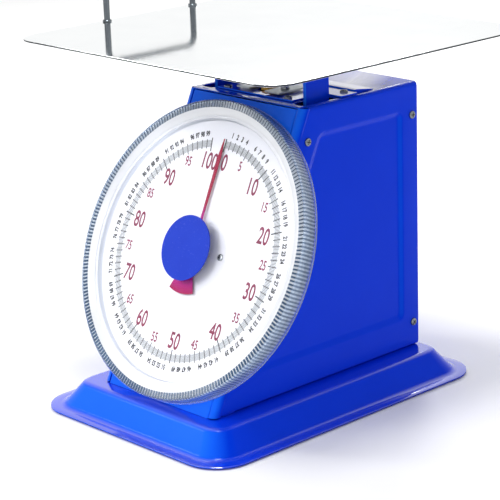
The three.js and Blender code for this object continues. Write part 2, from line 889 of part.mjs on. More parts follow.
// Flat sheet between the seams; its flanges turn back and step out to the side walls
function frontPanel() {
  const tucked = casingWidth / 2 - casingSheet - seatGap - casingSheet / 2;
  const half = seamHalf - seatGap - casingSheet / 2;
  const step = panelStepStart + panelStepRun;
  const arm = (side) => [
    [side * tucked, -step - panelFlangeDepth], [side * tucked, -step, 0],
    [side * half, -panelStepStart, 0], [side * half, -casingSheet / 2, panelEdgeRadius],
  ];
  const sheet = alongSlope(bentStrip([...arm(1), ...arm(-1).reverse()], casingSheet, casingSheet));
  const reach = casingDepth;
  const below = block(-casingWidth, casingWidth, casingFront - reach, reach, -reach, casingBottom);
  const above = block(-casingWidth, casingWidth, casingFront - reach, reach,
    casingTop - casingSheet - seatGap, casingTop + reach);
  const holes = [
    bar(dialCentreHole, point(0, 0, -casingSheet - overrun), point(0, 0, overrun)),
    ...holesAt(pillarPlaces(), movementScrewRadius, -casingSheet, 0),
  ].map((body) => body.transform(dial.matrix.elements));
  const behind = block(-casingWidth, casingWidth, -casingHeight, casingHeight, -casingDepth, -seamDepth)
    .transform(dial.matrix.elements);
  return cut(sheet, cut(behind, insideCasing()), below, above, ...holes, ...casingScrewHoles());
}

function backCover() {
  const half = casingWidth / 2 - casingSheet - seatGap - casingSheet / 2;
  const face = casingBackReach - backCoverInset - casingSheet / 2;
  const path = [[half, face - backFlangeDepth], [half, face], [-half, face], [-half, face - backFlangeDepth]];
  const sheet = flat(bentStrip(path, casingSheet, casingSheet),
    casingBottom + casingSheet + seatGap, casingTop - casingSheet - seatGap);
  return cut(sheet.intersect(insideCasing()), ...casingScrewHoles());
}

function topPlateScrewPlaces() {
  const front = topPlateFrontHalf - topPlateFrontScrewMargin;
  const back = topPlateBackHalf - topPlateBackScrewMargin;
  return [-1, 1].flatMap((side) => [
    point(side * front, topPlateFront + topPlateFrontScrewInset, 0),
    point(side * back, topPlateBack - topPlateBackScrewInset, 0),
  ]);
}

function clampScrewPlaces() {
  return [point(-clampScrewAcross, 0, 0), point(clampScrewAcross, 0, 0)];
}

function topPlate() {
  const [front, back] = [topPlateFrontHalf, topPlateBackHalf];
  const corners = [
    [-front, topPlateFront], [front, topPlateFront], [front, topPlateShoulder], [back, topPlateShoulder],
    [back, topPlateBack], [-back, topPlateBack], [-back, topPlateShoulder], [-front, topPlateShoulder],
  ];
  const sheet = flat(roundedOutline(corners, topPlateSheet), topPlateBottom, topPlateTop);
  return cut(sheet,
    ...holesAt(topPlateScrewPlaces(), topPlateScrewRadius, topPlateBottom, topPlateTop),
    ...holesAt(clampScrewPlaces(), clampScrewRadius, topPlateBottom, topPlateTop),
    bar(topPlateWindowRadius, point(0, 0, topPlateBottom - overrun), point(0, 0, topPlateTop + overrun)));
}

function topPlateScrew({ x, y }) {
  const seat = topPlateTop + seatGap;
  return screw(topPlateScrewRadius, topPlateScrewHeadRadius, topPlateScrewHeadHeight,
    point(x, y, seat), point(x, y, seat - topPlateScrewLength), roundSides);
}

const clampBottom = topPlateTop + seatGap + clampSpacerHeight;

function clampPlate() {
  const high = clampBottom + clampThickness;
  const outline = roundedOutline(
    rectangle(-clampHalf, clampHalf, -clampDepth / 2, clampDepth / 2), clampCornerRadius);
  const notchHalf = clampNotchWidth / 2;
  const foot = clampBottom - clampSpacerHeight;
  const [low, top] = [foot - overrun, high + overrun];
  const bosses = clampScrewPlaces().map(({ x, y }) => bar(
    clampSpacerRadius, point(x, y, foot), point(x, y, high)));
  return cut(
    join(flat(outline, clampBottom, high), ...bosses),
    bar(notchHalf, point(0, 0, low), point(0, 0, top)),
    block(-notchHalf, notchHalf, -clampDepth, 0, low, top),
    ...holesAt(clampScrewPlaces(), clampScrewRadius, foot, high));
}

function clampScrew({ x, y }) {
  const seat = clampBottom + clampThickness + seatGap;
  return screw(clampScrewRadius, clampScrewHeadRadius, clampScrewHeadHeight,
    point(x, y, seat), point(x, y, bridgeBottom), roundSides);
}

// Dial pieces, in the dial group's own directions
function dialScrewPlaces() {
  return [point(-dialScrewAcross, 0, 0), point(dialScrewAcross, 0, 0)];
}

function dialDish() {
  const low = seatGap;
  const floor = low + dishSheet;
  const shelf = dialFaceRise - seatGap;
  const profile = [
    [dialCentreHole, low], [dishRadius, low], [dishRadius, low + dishRimHeight],
    [dishRadius - dishSheet, low + dishRimHeight], [dishRadius - dishSheet, floor],
    [dishShelfRadius + dishSheet, floor], [dishShelfRadius + dishSheet, shelf], [dishShelfRadius, shelf],
    [dishShelfRadius, floor], [dialCentreHole, floor], [dialCentreHole, low],
  ];
  const bosses = dialScrewPlaces().map(({ x, y }) => bar(
    dishBossRadius, point(x, y, low + boreGap), point(x, y, shelf)));
  const threads = dialScrewPlaces().map(({ x, y }) => bar(
    dialScrewRadius + boreGap, point(x, y, floor), point(x, y, shelf + overrun)));
  return cut(join(turned(profile, dialSides), ...bosses), ...threads,
    ...holesAt(pillarPlaces(), movementScrewHeadRadius, low, floor));
}

function dialFace() {
  const high = dialFaceRise + dialFaceThickness;
  const disc = ring(dialCentreHole, dialFaceRadius, dialFaceRise, high, dialSides);
  return cut(disc, ...holesAt(dialScrewPlaces(), dialScrewRadius, dialFaceRise, high));
}

function dialScrew({ x, y }) {
  const seat = dialFaceRise + dialFaceThickness + seatGap;
  return screw(dialScrewRadius, dialScrewHeadRadius, dialScrewHeadHeight,
    point(x, y, seat), point(x, y, dialFaceRise - dishSheet), roundSides);
}

// Height of the cover's slightly domed window at a radius
function windowRise(radius) {
  return coverWindowRise + coverDomeRise * (1 - (radius / coverWindowRadius) ** 2);
}

function coverBody() {
  const domeRadii = domeShares.map((share) => coverWindowRadius * share);
  const outside = domeRadii.map((radius) => [radius, windowRise(radius)]);
  const ringMiddle = coverWindowRadius + coverRingWidth / 2;
  const crestRadius = coverRadius - fluteSkin;
  return turned([
    ...outside,
    [ringMiddle, coverWindowRise + coverRingHeight],
    [coverWindowRadius + coverRingWidth, coverWindowRise - coverRingHeight],
    [coverValleyRadius, coverValleyRise],
    [crestRadius - fluteSkin, coverCrestRise - fluteSkin],
    [crestRadius, coverCrestRise - coverWall],
    [coverRadius - fluteSkin, coverRimHeight + seatGap],
    [coverRadius + coverRimWidth, coverRimHeight + seatGap],
    [coverRadius + coverRimWidth, coverSeat],
    [coverRadius - coverWall - fluteSkin, coverSeat],
    [coverRadius - coverWall - fluteSkin, coverCrestRise - coverCrestWall],
    [coverValleyRadius, coverValleyRise - coverWall],
    [coverWindowRadius, coverWindowRise - coverWall],
    [0, windowRise(0) - coverWall],
  ], dialSides);
}

// Fluted skin over the crest and down the side: every other point stands in by the flute's depth
function fluteBand() {
  const rows = [
    [coverRadius - coverWall, coverCrestRise - fluteSkin, 0],
    [coverRadius - fluteSkin, coverCrestRise, 0],
    [coverRadius + fluteSkin, coverCrestRise - coverWall, fluteDepth],
    [coverRadius + fluteSkin, coverRimHeight + coverSeat, fluteDepth],
    [coverRadius - fluteFootInset, coverRimHeight + coverSeat, 0],
  ];
  const rings = rows.map(([radius, height, depth]) => Array.from({ length: fluteCount * 2 }, (_, i) => {
    const angle = Math.PI * i / fluteCount;
    const reach = radius - (i % 2) * depth;
    return point(reach * Math.cos(angle), reach * Math.sin(angle), height);
  }));
  return lofted(rings, true);
}

function coverDisc() {
  const low = windowRise(0) + seatGap;
  return turned([
    [0, low], [discRadius, low], [discRadius, low + discThickness - discChamfer],
    [discRadius - discChamfer, low + discThickness], [0, low + discThickness],
  ], discSides);
}

function needle() {
  const [low, high] = [needleRise, needleRise + needleThickness];
  const right = [
    [needleRootHalf, 0], [needleHeadHalf, needleReach * needleHeadShare], [needleTipHalf, needleReach],
  ];
  const left = right.map(([x, y]) => [-x, y]).reverse();
  const blade = [...right, ...left].map(([x, y]) => new THREE.Vector2(x, y));
  const tail = Array.from({ length: tailSteps + 1 }, (_, i) => {
    const angle = THREE.MathUtils.degToRad(tailHalfAngle) * (2 * i / tailSteps - 1);
    return new THREE.Vector2(tailRadius * Math.sin(angle), -tailRadius * Math.cos(angle));
  });
  const fan = [new THREE.Vector2(-needleRootHalf, 0), ...tail, new THREE.Vector2(needleRootHalf, 0)];
  const boss = bar(hubRadius, point(0, 0, low), point(0, 0, high));
  return cut(join(flat(blade, low, high), flat(fan, low, high), boss),
    bar(hubSleeveRadius + boreGap, point(0, 0, low - overrun), point(0, 0, high + overrun)));
}

function pointerShaft() {
  return bar(shaftRadius, point(0, 0, -shaftBack), point(0, 0, hubRise + hubHeight - seatGap));
}

// Hub with the collar that is riveted over the needle
function pointerHub() {
  const bore = shaftRadius + boreGap;
  const under = needleRise - seatGap;
  const over = needleRise + needleThickness + seatGap;
  const collar = hubRadius * hubCollarShare;
  return turned([
    [bore, hubRise], [hubRadius - seatGap, hubRise], [hubRadius - seatGap, under], [hubSleeveRadius, under],
    [hubSleeveRadius, over], [collar, over], [collar, hubRise + hubHeight], [bore, hubRise + hubHeight],
    [bore, hubRise],
  ]);
}

// Involute tooth flank: half angle of the tooth at a radius
function toothHalfAngle(radius) {
  const contact = THREE.MathUtils.degToRad(pressureAngle);
  const base = pitchRadius * Math.cos(contact);
  const involute = (angle) => Math.tan(angle) - angle;
  const here = radius > base ? Math.acos(base / radius) : 0;
  const pitchHalf = Math.PI / (2 * pinionTeeth) - toothPlay / (4 * pitchRadius);
  return pitchHalf + involute(contact) - involute(here);
}

function pinion() {
  const tip = pitchRadius + gearModule;
  const root = pitchRadius - gearModule * rootClearanceShare;
  const radii = flankShares.map((share) => root + (tip - root) * share);
  const outline = [];
  for (let tooth = 0; tooth < pinionTeeth; tooth += 1) {
    const middle = Math.PI * (2 * tooth + 1) / pinionTeeth;
    const flank = (sign, list) => list.forEach((radius) => {
      const angle = middle + sign * toothHalfAngle(radius);
      outline.push(new THREE.Vector2(radius * Math.cos(angle), radius * Math.sin(angle)));
    });
    flank(-1, radii);
    flank(1, [...radii].reverse());
  }
  const [low, high] = [-gearPlane - pinionWidth / 2, -gearPlane + pinionWidth / 2];
  return cut(flat(outline, low, high),
    bar(shaftRadius + boreGap, point(0, 0, low - overrun), point(0, 0, high + overrun)));
}

const rackRoot = pitchRadius + gearModule * rootClearanceShare;
const rackOuter = rackRoot + rackBack;

function rack() {
  const pitch = Math.PI * gearModule;
  const lean = Math.tan(THREE.MathUtils.degToRad(pressureAngle));
  const half = pitch / 4 - toothPlay / 2;
  const addendum = gearModule * rackAddendumShare;
  const tipHalf = half - addendum * lean;
  const rootHalf = half + gearModule * rootClearanceShare * lean;
  const outline = [];
  for (let tooth = -rackTailTeeth; tooth <= rackHeadTeeth; tooth += 1) {
    const middle = tooth * pitch;
    outline.push([rackRoot, middle - rootHalf], [pitchRadius - addendum, middle - tipHalf],
      [pitchRadius - addendum, middle + tipHalf], [rackRoot, middle + rootHalf]);
  }
  const top = rackReach + rackEndMargin;
  const bottom = -(rackTailTeeth + 1) * pitch;
  const corners = [[rackOuter, bottom], [rackRoot, bottom], ...outline, [rackRoot, top], [rackOuter, top]];
  const [low, high] = [-gearPlane - rackWidth / 2, -gearPlane + rackWidth / 2];
  const body = flat(corners.map(([x, y]) => new THREE.Vector2(x, y)).reverse(), low, high);
  return cut(body, bar(rackPinRadius + boreGap, point(rackRoot - overrun, rackReach, -gearPlane),
    point(rackOuter + overrun, rackReach, -gearPlane)));
}

const earReach = hangerEarGap + hangerEarSheet + boreGap;

function rackPin() {
  return bar(rackPinRadius, point(rackRoot - earReach, rackReach, -gearPlane),
    point(rackOuter + earReach, rackReach, -gearPlane));
}

function pillarPlaces() {
  return [-1, 1].flatMap((side) => [-1, 1].map((end) => point(side * pillarAcross, end * pillarUp, 0)));
}

function movementPlate(depth) {
  const outline = roundedOutline(
    rectangle(-movementHalfWidth, movementHalfWidth, -movementHalfHeight, movementHalfHeight),
    movementCornerRadius);
  const [low, high] = [-depth - movementPlateSheet, -depth];
  return cut(flat(outline, low, high),
    bar(bushRadius + boreGap, point(0, 0, low - overrun), point(0, 0, high + overrun)));
}

// Front plate with the spacers that hold it off the panel
function movementFrontPlate() {
  const [low, high] = [-frontPlateDepth - boreGap, -casingSheet - seatGap];
  const spacers = pillarPlaces().map(({ x, y }) => bar(
    pillarRadius, point(x, y, low), point(x, y, high), holeSides));
  return cut(join(movementPlate(frontPlateDepth), ...spacers),
    ...holesAt(pillarPlaces(), movementScrewRadius, low - movementPlateSheet, high));
}

// Rear plate with its riveted pillars, whose thin ends run through front plate and panel to their nuts
function movementRearPlate() {
  const low = -rearPlateDepth - movementPlateSheet;
  const shoulder = -frontPlateDepth - movementPlateSheet - seatGap;
  const end = seatGap + movementScrewRadius * nutHeightShare + studProud;
  const pillars = pillarPlaces().map(({ x, y }) => join(
    bar(pillarRadius, point(x, y, low), point(x, y, shoulder), holeSides),
    bar(movementScrewRadius, point(x, y, low + boreGap), point(x, y, end), holeSides),
    nut(movementScrewRadius, x, y, seatGap)));
  return join(movementPlate(rearPlateDepth), ...pillars);
}

function shaftBush(plateDepth) {
  const bore = shaftRadius + runningGap;
  const face = -plateDepth + seatGap;
  return turned([
    [bore, face - bushLength], [bushRadius, face - bushLength], [bushRadius, face],
    [bushFlangeRadius, face], [bushFlangeRadius, face + bushFlange], [bore, face + bushFlange],
    [bore, face - bushLength],
  ]);
}

function rackGuide() {
  const near = rackOuter + runningGap;
  const [low, high] = [-rearPlateDepth + seatGap, -frontPlateDepth - movementPlateSheet - seatGap];
  return block(near, near + guideWidth, -guideHalfLength, guideHalfLength, low, high);
}

// Heights of the screws that hold channel and crossbar to the posts
function yokeScrewPlaces() {
  return [
    point(0, 0, channelRise + channelSheet + channelTab / 2),
    point(0, -crossbarScrewAlong, crossbarRise + crossbarHeight / 2),
  ];
}

function supportScrewPlaces() {
  return [-1, 1].flatMap((side) => [-1, 1].map((end) => (
    point(side * supportScrewAcross, end * supportScrewAlong, 0))));
}

// Stub pin riveted into a post for a lever's slotted eye
function leverPin(side, z) {
  const face = yokeAcross / 2;
  const tip = leverAcross - leverSheet - leverPinTail;
  return join(
    bar(leverPinRadius, point(side * tip, 0, z), point(side * face, 0, z)),
    bar(leverPinHeadRadius, point(side * (face - boreGap), 0, z),
      point(side * (face + leverPinHeadHeight), 0, z)));
}

function yokeScrew(side, { y, z }) {
  const tip = yokeInside - channelSheet - yokeScrewProud;
  return screw(yokeScrewRadius, yokeScrewHeadRadius, yokeScrewHeadHeight,
    point(side * (yokeAcross / 2 - boreGap), y, z), point(side * tip, y, z));
}

// One strip bent to a U with its ends turned in under the pan support
function loadYoke() {
  const half = yokeAcross / 2 - yokeStrip / 2;
  const low = yokeBottom + yokeStrip / 2;
  const high = yokeTop - yokeStrip / 2;
  const tip = half - yokeTopFlange;
  const path = [[tip, high], [half, high], [half, low], [-half, low], [-half, high], [-tip, high]];
  const strip = facingY(bentStrip(path, yokeStrip, yokeBendRadius), -yokeStripWidth / 2, yokeStripWidth / 2);
  const holes = holesAt(supportScrewPlaces(), supportScrewRadius, yokeTop - yokeStrip, yokeTop);
  const fittings = [-1, 1].flatMap((side) => [
    ...[upperLeverRise, lowerLeverRise].map((z) => leverPin(side, z)),
    ...yokeScrewPlaces().map((place) => yokeScrew(side, place)),
  ]);
  return join(cut(strip, ...holes), ...fittings);
}

function postScrewHoles() {
  const reach = yokeAcross / 2;
  return yokeScrewPlaces().map(({ y, z }) => hole(
    yokeScrewRadius + holeGap, point(-reach, y, z), point(reach, y, z)));
}

function springPlaces() {
  return [point(-springAcross, 0, 0), point(springAcross, 0, 0)];
}

function springChannel() {
  const reach = yokeInside - seatGap;
  const web = channelRise + channelSheet / 2;
  const half = channelDepth / 2 - channelSheet / 2;
  const path = [[half, web - channelFlange], [half, web], [-half, web], [-half, web - channelFlange]];
  const trough = facingX(bentStrip(path, channelSheet, channelSheet), -reach, reach);
  const tabs = [-1, 1].map((side) => block(
    ...span(side, reach - channelSheet, reach),
    -half, half, channelRise, channelRise + channelSheet + channelTab));
  const studs = holesAt(springPlaces(), plugStudRadius, channelRise, channelRise + channelSheet);
  return cut(join(trough, ...tabs), ...studs, ...postScrewHoles());
}

const crossbarFace = -yokeStripWidth / 2 - crossbarSheet;

function rackHangerScrewPlaces() {
  const middle = (rackRoot + rackOuter) / 2;
  return [point(middle - hangerScrewAcross, 0, 0), point(middle + hangerScrewAcross, 0, 0)]
    .map(({ x }) => point(x, 0, crossbarRise + crossbarHeight / 2));
}

// Bar across the posts, with the screws that carry the rack hanger
function yokeCrossbar() {
  const half = yokeInside - seatGap - crossbarSheet / 2;
  const face = crossbarFace + crossbarSheet / 2;
  const path = [[half, face + crossbarTab], [half, face], [-half, face], [-half, face + crossbarTab]];
  const strip = bentStrip(path, crossbarSheet, crossbarSheet);
  const sheet = flat(strip, crossbarRise, crossbarRise + crossbarHeight);
  const seat = crossbarFace - seatGap - hangerEarSheet - seatGap;
  const screws = rackHangerScrewPlaces().map(({ x, z }) => screw(
    yokeScrewRadius, hangerScrewHeadRadius, yokeScrewHeadHeight,
    point(x, seat, z), point(x, crossbarFace + crossbarSheet / 2, z)));
  return join(cut(sheet, ...postScrewHoles()), ...screws);
}

// Where the rack's pin stands at rest, in the scale's directions
const pinRest = point(0, rackReach, -gearPlane).applyMatrix4(dial.matrix);
const pinShift = rackTravel * Math.sin(slope);

function rackHanger() {
  const face = crossbarFace - seatGap;
  const [earLeft, earRight] = [rackRoot - hangerEarGap, rackOuter + hangerEarGap];
  const slotFront = pinRest.y - pinShift - rackPinRadius - runningGap;
  const slotBack = pinRest.y + rackPinRadius + runningGap;
  const end = slotFront - hangerEndMargin;
  const [low, high] = [pinRest.z - hangerEarHalfHeight, pinRest.z + hangerEarHalfHeight];
  const middle = (rackRoot + rackOuter) / 2;
  const plateHalf = hangerScrewAcross + hangerEdgeMargin;
  const back = block(middle - plateHalf, middle + plateHalf, face - hangerEarSheet, face,
    crossbarRise + seatGap, crossbarRise + crossbarHeight - seatGap);
  const earOutline = roundedOutline(rectangle(end, face - hangerEarSheet / 2, low, high), hangerEarSheet);
  const ears = join(
    facingX(earOutline, earLeft - hangerEarSheet, earLeft),
    facingX(earOutline, earRight, earRight + hangerEarSheet));
  const slotHalf = rackPinRadius + runningGap;
  const slotOutline = roundedOutline(
    rectangle(slotFront, slotBack, pinRest.z - slotHalf, pinRest.z + slotHalf), slotHalf - boreGap);
  const slot = facingX(slotOutline, earLeft - hangerEarSheet - overrun, earRight + hangerEarSheet + overrun);
  const fixings = rackHangerScrewPlaces().map(({ x, z }) => hole(
    yokeScrewRadius + holeGap, point(x, face - hangerEarSheet - overrun, z), point(x, face + overrun, z)));
  return cut(join(back, ears), slot, ...fixings);
}

function lever() {
  const half = leverHalfHeight;
  const corners = rectangle(-leverReach - half, half, -half, half);
  const arm = (side) => facingX(
    roundedOutline(corners, half - boreGap), ...span(side, leverAcross - leverSheet, leverAcross));
  const web = block(-leverAcross + boreGap, leverAcross - boreGap, -leverWebFar, -leverWebNear,
    -leverSheet / 2, leverSheet / 2);
  const reach = leverAcross + overrun;
  const pivot = bar(leverPinRadius + runningGap, point(-reach, 0, 0), point(reach, 0, 0));
  const slotHalf = leverPinRadius + runningGap;
  const stretch = Math.hypot(leverReach, loadTravel / 2) - leverReach;
  const eye = facingX(
    roundedOutline(rectangle(-leverReach - stretch - slotHalf, -leverReach + slotHalf, -slotHalf, slotHalf),
      slotHalf - boreGap, cornerSteps),
    -reach, reach);
  return cut(join(arm(-1), arm(1), web), pivot, eye);
}

// Rod through the frame with a head at either end outside the lever's arms
function leverRod(rise) {
  const face = leverAcross + seatGap;
  const tip = face + clipThickness;
  const z = rise - loadTravel / 2;
  return join(
    bar(leverPinRadius, point(-tip, leverReach, z), point(tip, leverReach, z)),
    bothSides((side) => bar(
      clipRadius, point(side * face, leverReach, z), point(side * tip, leverReach, z))));
}

function mechanismFrame() {
  const half = frameAcross / 2;
  const low = deckTop + seatGap;
  const columnFront = frameBack - frameColumnDepth;
  const armLow = frameTop - frameArmHeight;
  const outline = [
    [frameBack, low], [frameBack, frameTop], [-frameArmReach, frameTop], [-frameArmReach, armLow],
    [columnFront - frameGusset, armLow], [columnFront, armLow - frameGusset], [columnFront, low],
  ];
  const sides = [-1, 1].map((side) => facingX(
    roundedOutline(outline, frameSheet),
    ...span(side, half - frameSheet, half)));
  const web = block(-half + boreGap, half - boreGap, frameBack - frameSheet, frameBack, low, frameTop);
  const window = block(-half + frameWindowMargin, half - frameWindowMargin, frameBack - frameSheet - overrun,
    frameBack + overrun, lowerLeverRise + leverHalfHeight, upperLeverRise - leverHalfHeight);
  const feet = [-1, 1].map((side) => block(
    ...span(side, half - boreGap, half + frameFootWidth),
    columnFront + frameSheet, frameBack - frameSheet, low, low + frameSheet));
  const flanges = [-1, 1].map((side) => block(
    ...span(side, half - frameFlangeWidth, half - boreGap),
    -frameArmReach + boreGap, frameArmReach, frameTop - frameSheet, frameTop));
  const reach = half + overrun;
  const rods = [upperLeverRise, lowerLeverRise].map((rise) => bar(
    leverPinRadius + boreGap, point(-reach, leverReach, rise - loadTravel / 2),
    point(reach, leverReach, rise - loadTravel / 2)));
  const bridgeHoles = holesAt(bridgeScrewPlaces(), bridgeScrewRadius, frameTop - frameSheet, frameTop);
  const sheet = cut(join(...sides, cut(web, window), ...feet, ...flanges), ...rods, ...bridgeHoles);
  return join(sheet, ...frameBolts());
}

// Bolts through the deck, tightened on the frame's feet
function frameBolts() {
  const foot = deckTop + seatGap + frameSheet;
  return frameBoltPlaces().map(({ x, y }) => join(
    screw(frameBoltRadius, frameBoltHeadRadius, frameBoltHeadHeight, point(x, y, deckUnder - seatGap),
      point(x, y, foot + frameBoltRadius * nutHeightShare + studProud)),
    nut(frameBoltRadius, x, y, foot - boreGap)));
}

function bridgeScrewPlaces() {
  return [-1, 1].flatMap((side) => [-1, 1].map((end) => (
    point(side * bridgeScrewAcross, end * bridgeScrewAlong, 0))));
}

// Bar across the frame's arms, with its four screws
function topBridge() {
  const half = frameAcross / 2;
  const [low, high] = [bridgeBottom - overrun, bridgeTop + overrun];
  const holed = cut(
    block(-half, half, -bridgeDepth / 2, bridgeDepth / 2, bridgeBottom, bridgeTop),
    hole(adjusterRadius + holeGap, point(0, 0, low), point(0, 0, high)),
    ...clampScrewPlaces().map(({ x, y }) => bar(
      clampScrewRadius + boreGap, point(x, y, low), point(x, y, high))));
  const screws = bridgeScrewPlaces().map(({ x, y }) => screw(
    bridgeScrewRadius, bridgeScrewHeadRadius, bridgeScrewHeadHeight,
    point(x, y, bridgeTop - boreGap), point(x, y, frameTop - frameSheet - bridgeScrewProud)));
  return join(holed, ...screws);
}

// Spring hanger: bar, threaded adjuster and the plugs that the springs are wound on
function springHanger() {
  const [low, high] = [hangerRise, hangerRise + hangerThickness];
  return cut(
    block(-hangerWidth / 2, hangerWidth / 2, -hangerDepth / 2, hangerDepth / 2, low, high),
    bar(adjusterRadius + boreGap, point(0, 0, low - overrun), point(0, 0, high + overrun)),
    ...springPlaces().map(({ x, y }) => bar(
      plugStudRadius + boreGap, point(x, y, low - overrun), point(x, y, high + overrun))));
}

// Threaded bolt with its head under the hanger, screwed into the knob
function adjusterBolt() {
  return join(
    bar(adjusterRadius, point(0, 0, hangerRise - adjusterTail),
      point(0, 0, bridgeTop + seatGap + knobHeight - knobTopDrop)),
    nut(adjusterRadius, 0, 0, hangerRise - seatGap - adjusterRadius * nutHeightShare));
}

// Plug with its collar next to the bar and its body down or up inside the coil
function springPlug(collarFace, towards, studEnd) {
  const collarEnd = collarFace + towards * plugCollarHeight;
  const bodyRadius = springCoilRadius * Math.cos(Math.PI / springStepsPerTurn) - springWire / 2 - seatGap;
  return join(
    bar(plugCollarRadius, point(0, 0, collarFace), point(0, 0, collarEnd)),
    bar(bodyRadius, point(0, 0, collarEnd - towards * boreGap),
      point(0, 0, collarEnd + towards * plugLength)),
    bar(plugStudRadius, point(0, 0, collarFace + towards * boreGap), point(0, 0, studEnd)));
}

function upperPlug(x) {
  const nutSeat = hangerRise + hangerThickness + seatGap;
  const studEnd = nutSeat + plugStudRadius * nutHeightShare + studProud;
  return join(springPlug(hangerRise - seatGap, -1, studEnd), nut(plugStudRadius, 0, 0, nutSeat))
    .translate([x, 0, 0]);
}

// Lower plug: its nuts stand on both sides of the channel, so that both springs can be set alike
function lowerPlug(x) {
  const under = channelRise - seatGap - plugStudRadius * nutHeightShare;
  return join(
    springPlug(lowerPlugFace, 1, under - studProud),
    nut(plugStudRadius, 0, 0, under),
    nut(plugStudRadius, 0, 0, channelRise + channelSheet + seatGap)).translate([x, 0, 0]);
}

// Coil from one straight end to the other; the ends leave the coil along its tangent
class Coil extends THREE.Curve {
  getPoint(share) {
    const lead = springWire / (2 * Math.PI * springCoilRadius);
    const turns = share * (springTurns + 2 * lead) - lead;
    const held = THREE.MathUtils.clamp(turns, 0, springTurns);
    const angle = 2 * Math.PI * held;
    const beyond = (turns - held) * 2 * Math.PI * springCoilRadius;
    const climb = springPitch * turns;
    return point(
      springCoilRadius * Math.cos(angle) - beyond * Math.sin(angle),
      springCoilRadius * Math.sin(angle) + beyond * Math.cos(angle),
      springBottom + springWire / 2 + climb);
  }
}

function coilSection() {
  return new THREE.Shape(Array.from({ length: springSides }, (_, i) => {
    const angle = 2 * Math.PI * i / springSides;
    return new THREE.Vector2(springWire / 2 * Math.cos(angle), springWire / 2 * Math.sin(angle));
  }));
}

function mainSpring(x) {
  const steps = springTurns * springStepsPerTurn + 2;
  const coil = new Coil();
  const tube = new THREE.ExtrudeGeometry(coilSection(), { steps, bevelEnabled: false, extrudePath: coil });
  return solidOf(tube).translate([x, 0, 0]);
}

// Least gap of the coil to itself, measured between points of turns that lie beside each other
function leastCoilGap() {
  const perTurn = coilCheckSteps;
  const points = new Coil().getPoints(springTurns * perTurn);
  let least = Infinity;
  points.forEach((here, i) => {
    for (let j = i + perTurn / 2; j < points.length; j += 1) {
      least = Math.min(least, here.distanceTo(points[j]) - springWire);
    }
  });
  return least;
}

function zeroKnob() {
  const low = bridgeTop + seatGap;
  const outline = Array.from({ length: knobKnurls * 2 }, (_, i) => {
    const angle = Math.PI * i / knobKnurls;
    const radius = knobRadius - (i % 2) * knobKnurlDepth;
    return new THREE.Vector2(radius * Math.cos(angle), radius * Math.sin(angle));
  });
  const body = flat(outline, low, low + knobHeight);
  const bore = (adjusterRadius + boreGap) / Math.cos(Math.PI / roundSides);
  return cut(body, bar(bore, point(0, 0, low - overrun), point(0, 0, low + knobHeight + overrun)));
}

// Pan with its welded studs, and the pressed support under it
function panStudPlaces() {
  const [across, along] = [supportWidth / 2 - panStudInset, supportDepth / 2 - panStudInset];
  return [-1, 1].flatMap((side) => [-1, 1].map((end) => point(side * across, end * along, 0)));
}

function railFeet() {
  const x = -panWidth / 2 + railEdgeMargin;
  return [point(x, -railLength / 2, 0), point(x, railLength / 2, 0)];
}

// Pan with its four welded studs and their nuts under the support
function weighingPan() {
  const [halfWidth, halfDepth] = [panWidth / 2, panDepth / 2];
  const outline = roundedOutline(
    rectangle(-halfWidth, halfWidth, -halfDepth, halfDepth), panCornerRadius, panCornerSteps);
  const nutSeat = panBottom - seatGap - supportSheet - seatGap - panStudRadius * nutHeightShare;
  const studs = panStudPlaces().map(({ x, y }) => join(
    bar(panStudRadius, point(x, y, panBottom - panStudLength), point(x, y, panBottom + panThickness / 2)),
    nut(panStudRadius, x, y, nutSeat)));
  const holes = holesAt(railFeet(), railRodRadius, panBottom, panRise);
  return cut(join(flat(outline, panBottom, panRise), ...studs), ...holes);
}

// Folded tray under the pan, with the screws that hold the yoke's ends
function panSupport() {
  const [halfWidth, halfDepth] = [supportWidth / 2, supportDepth / 2];
  const top = panBottom - seatGap;
  const supportRing = (inset, height) => roundedOutline(
    rectangle(-halfWidth + inset, halfWidth - inset, -halfDepth + inset, halfDepth - inset),
    supportRim - inset, supportCornerSteps).map(({ x, y }) => point(x, y, height));
  const sheet = lofted([
    supportRing(supportBend, top), supportRing(0, top - supportBend), supportRing(0, top - supportRim),
    supportRing(supportSheet, top - supportRim), supportRing(supportSheet, top - supportBend),
    supportRing(supportBend + supportSheet / 2, top - supportSheet),
  ]);
  const holes = holesAt(panStudPlaces(), panStudRadius, top - supportSheet, top);
  const seat = yokeTop - yokeStrip - seatGap;
  const screws = supportScrewPlaces().map(({ x, y }) => screw(
    supportScrewRadius, supportScrewHeadRadius, supportScrewHeadHeight, point(x, y, seat),
    point(x, y, top - supportSheet / 2)));
  return join(cut(sheet, ...holes), ...screws);
}

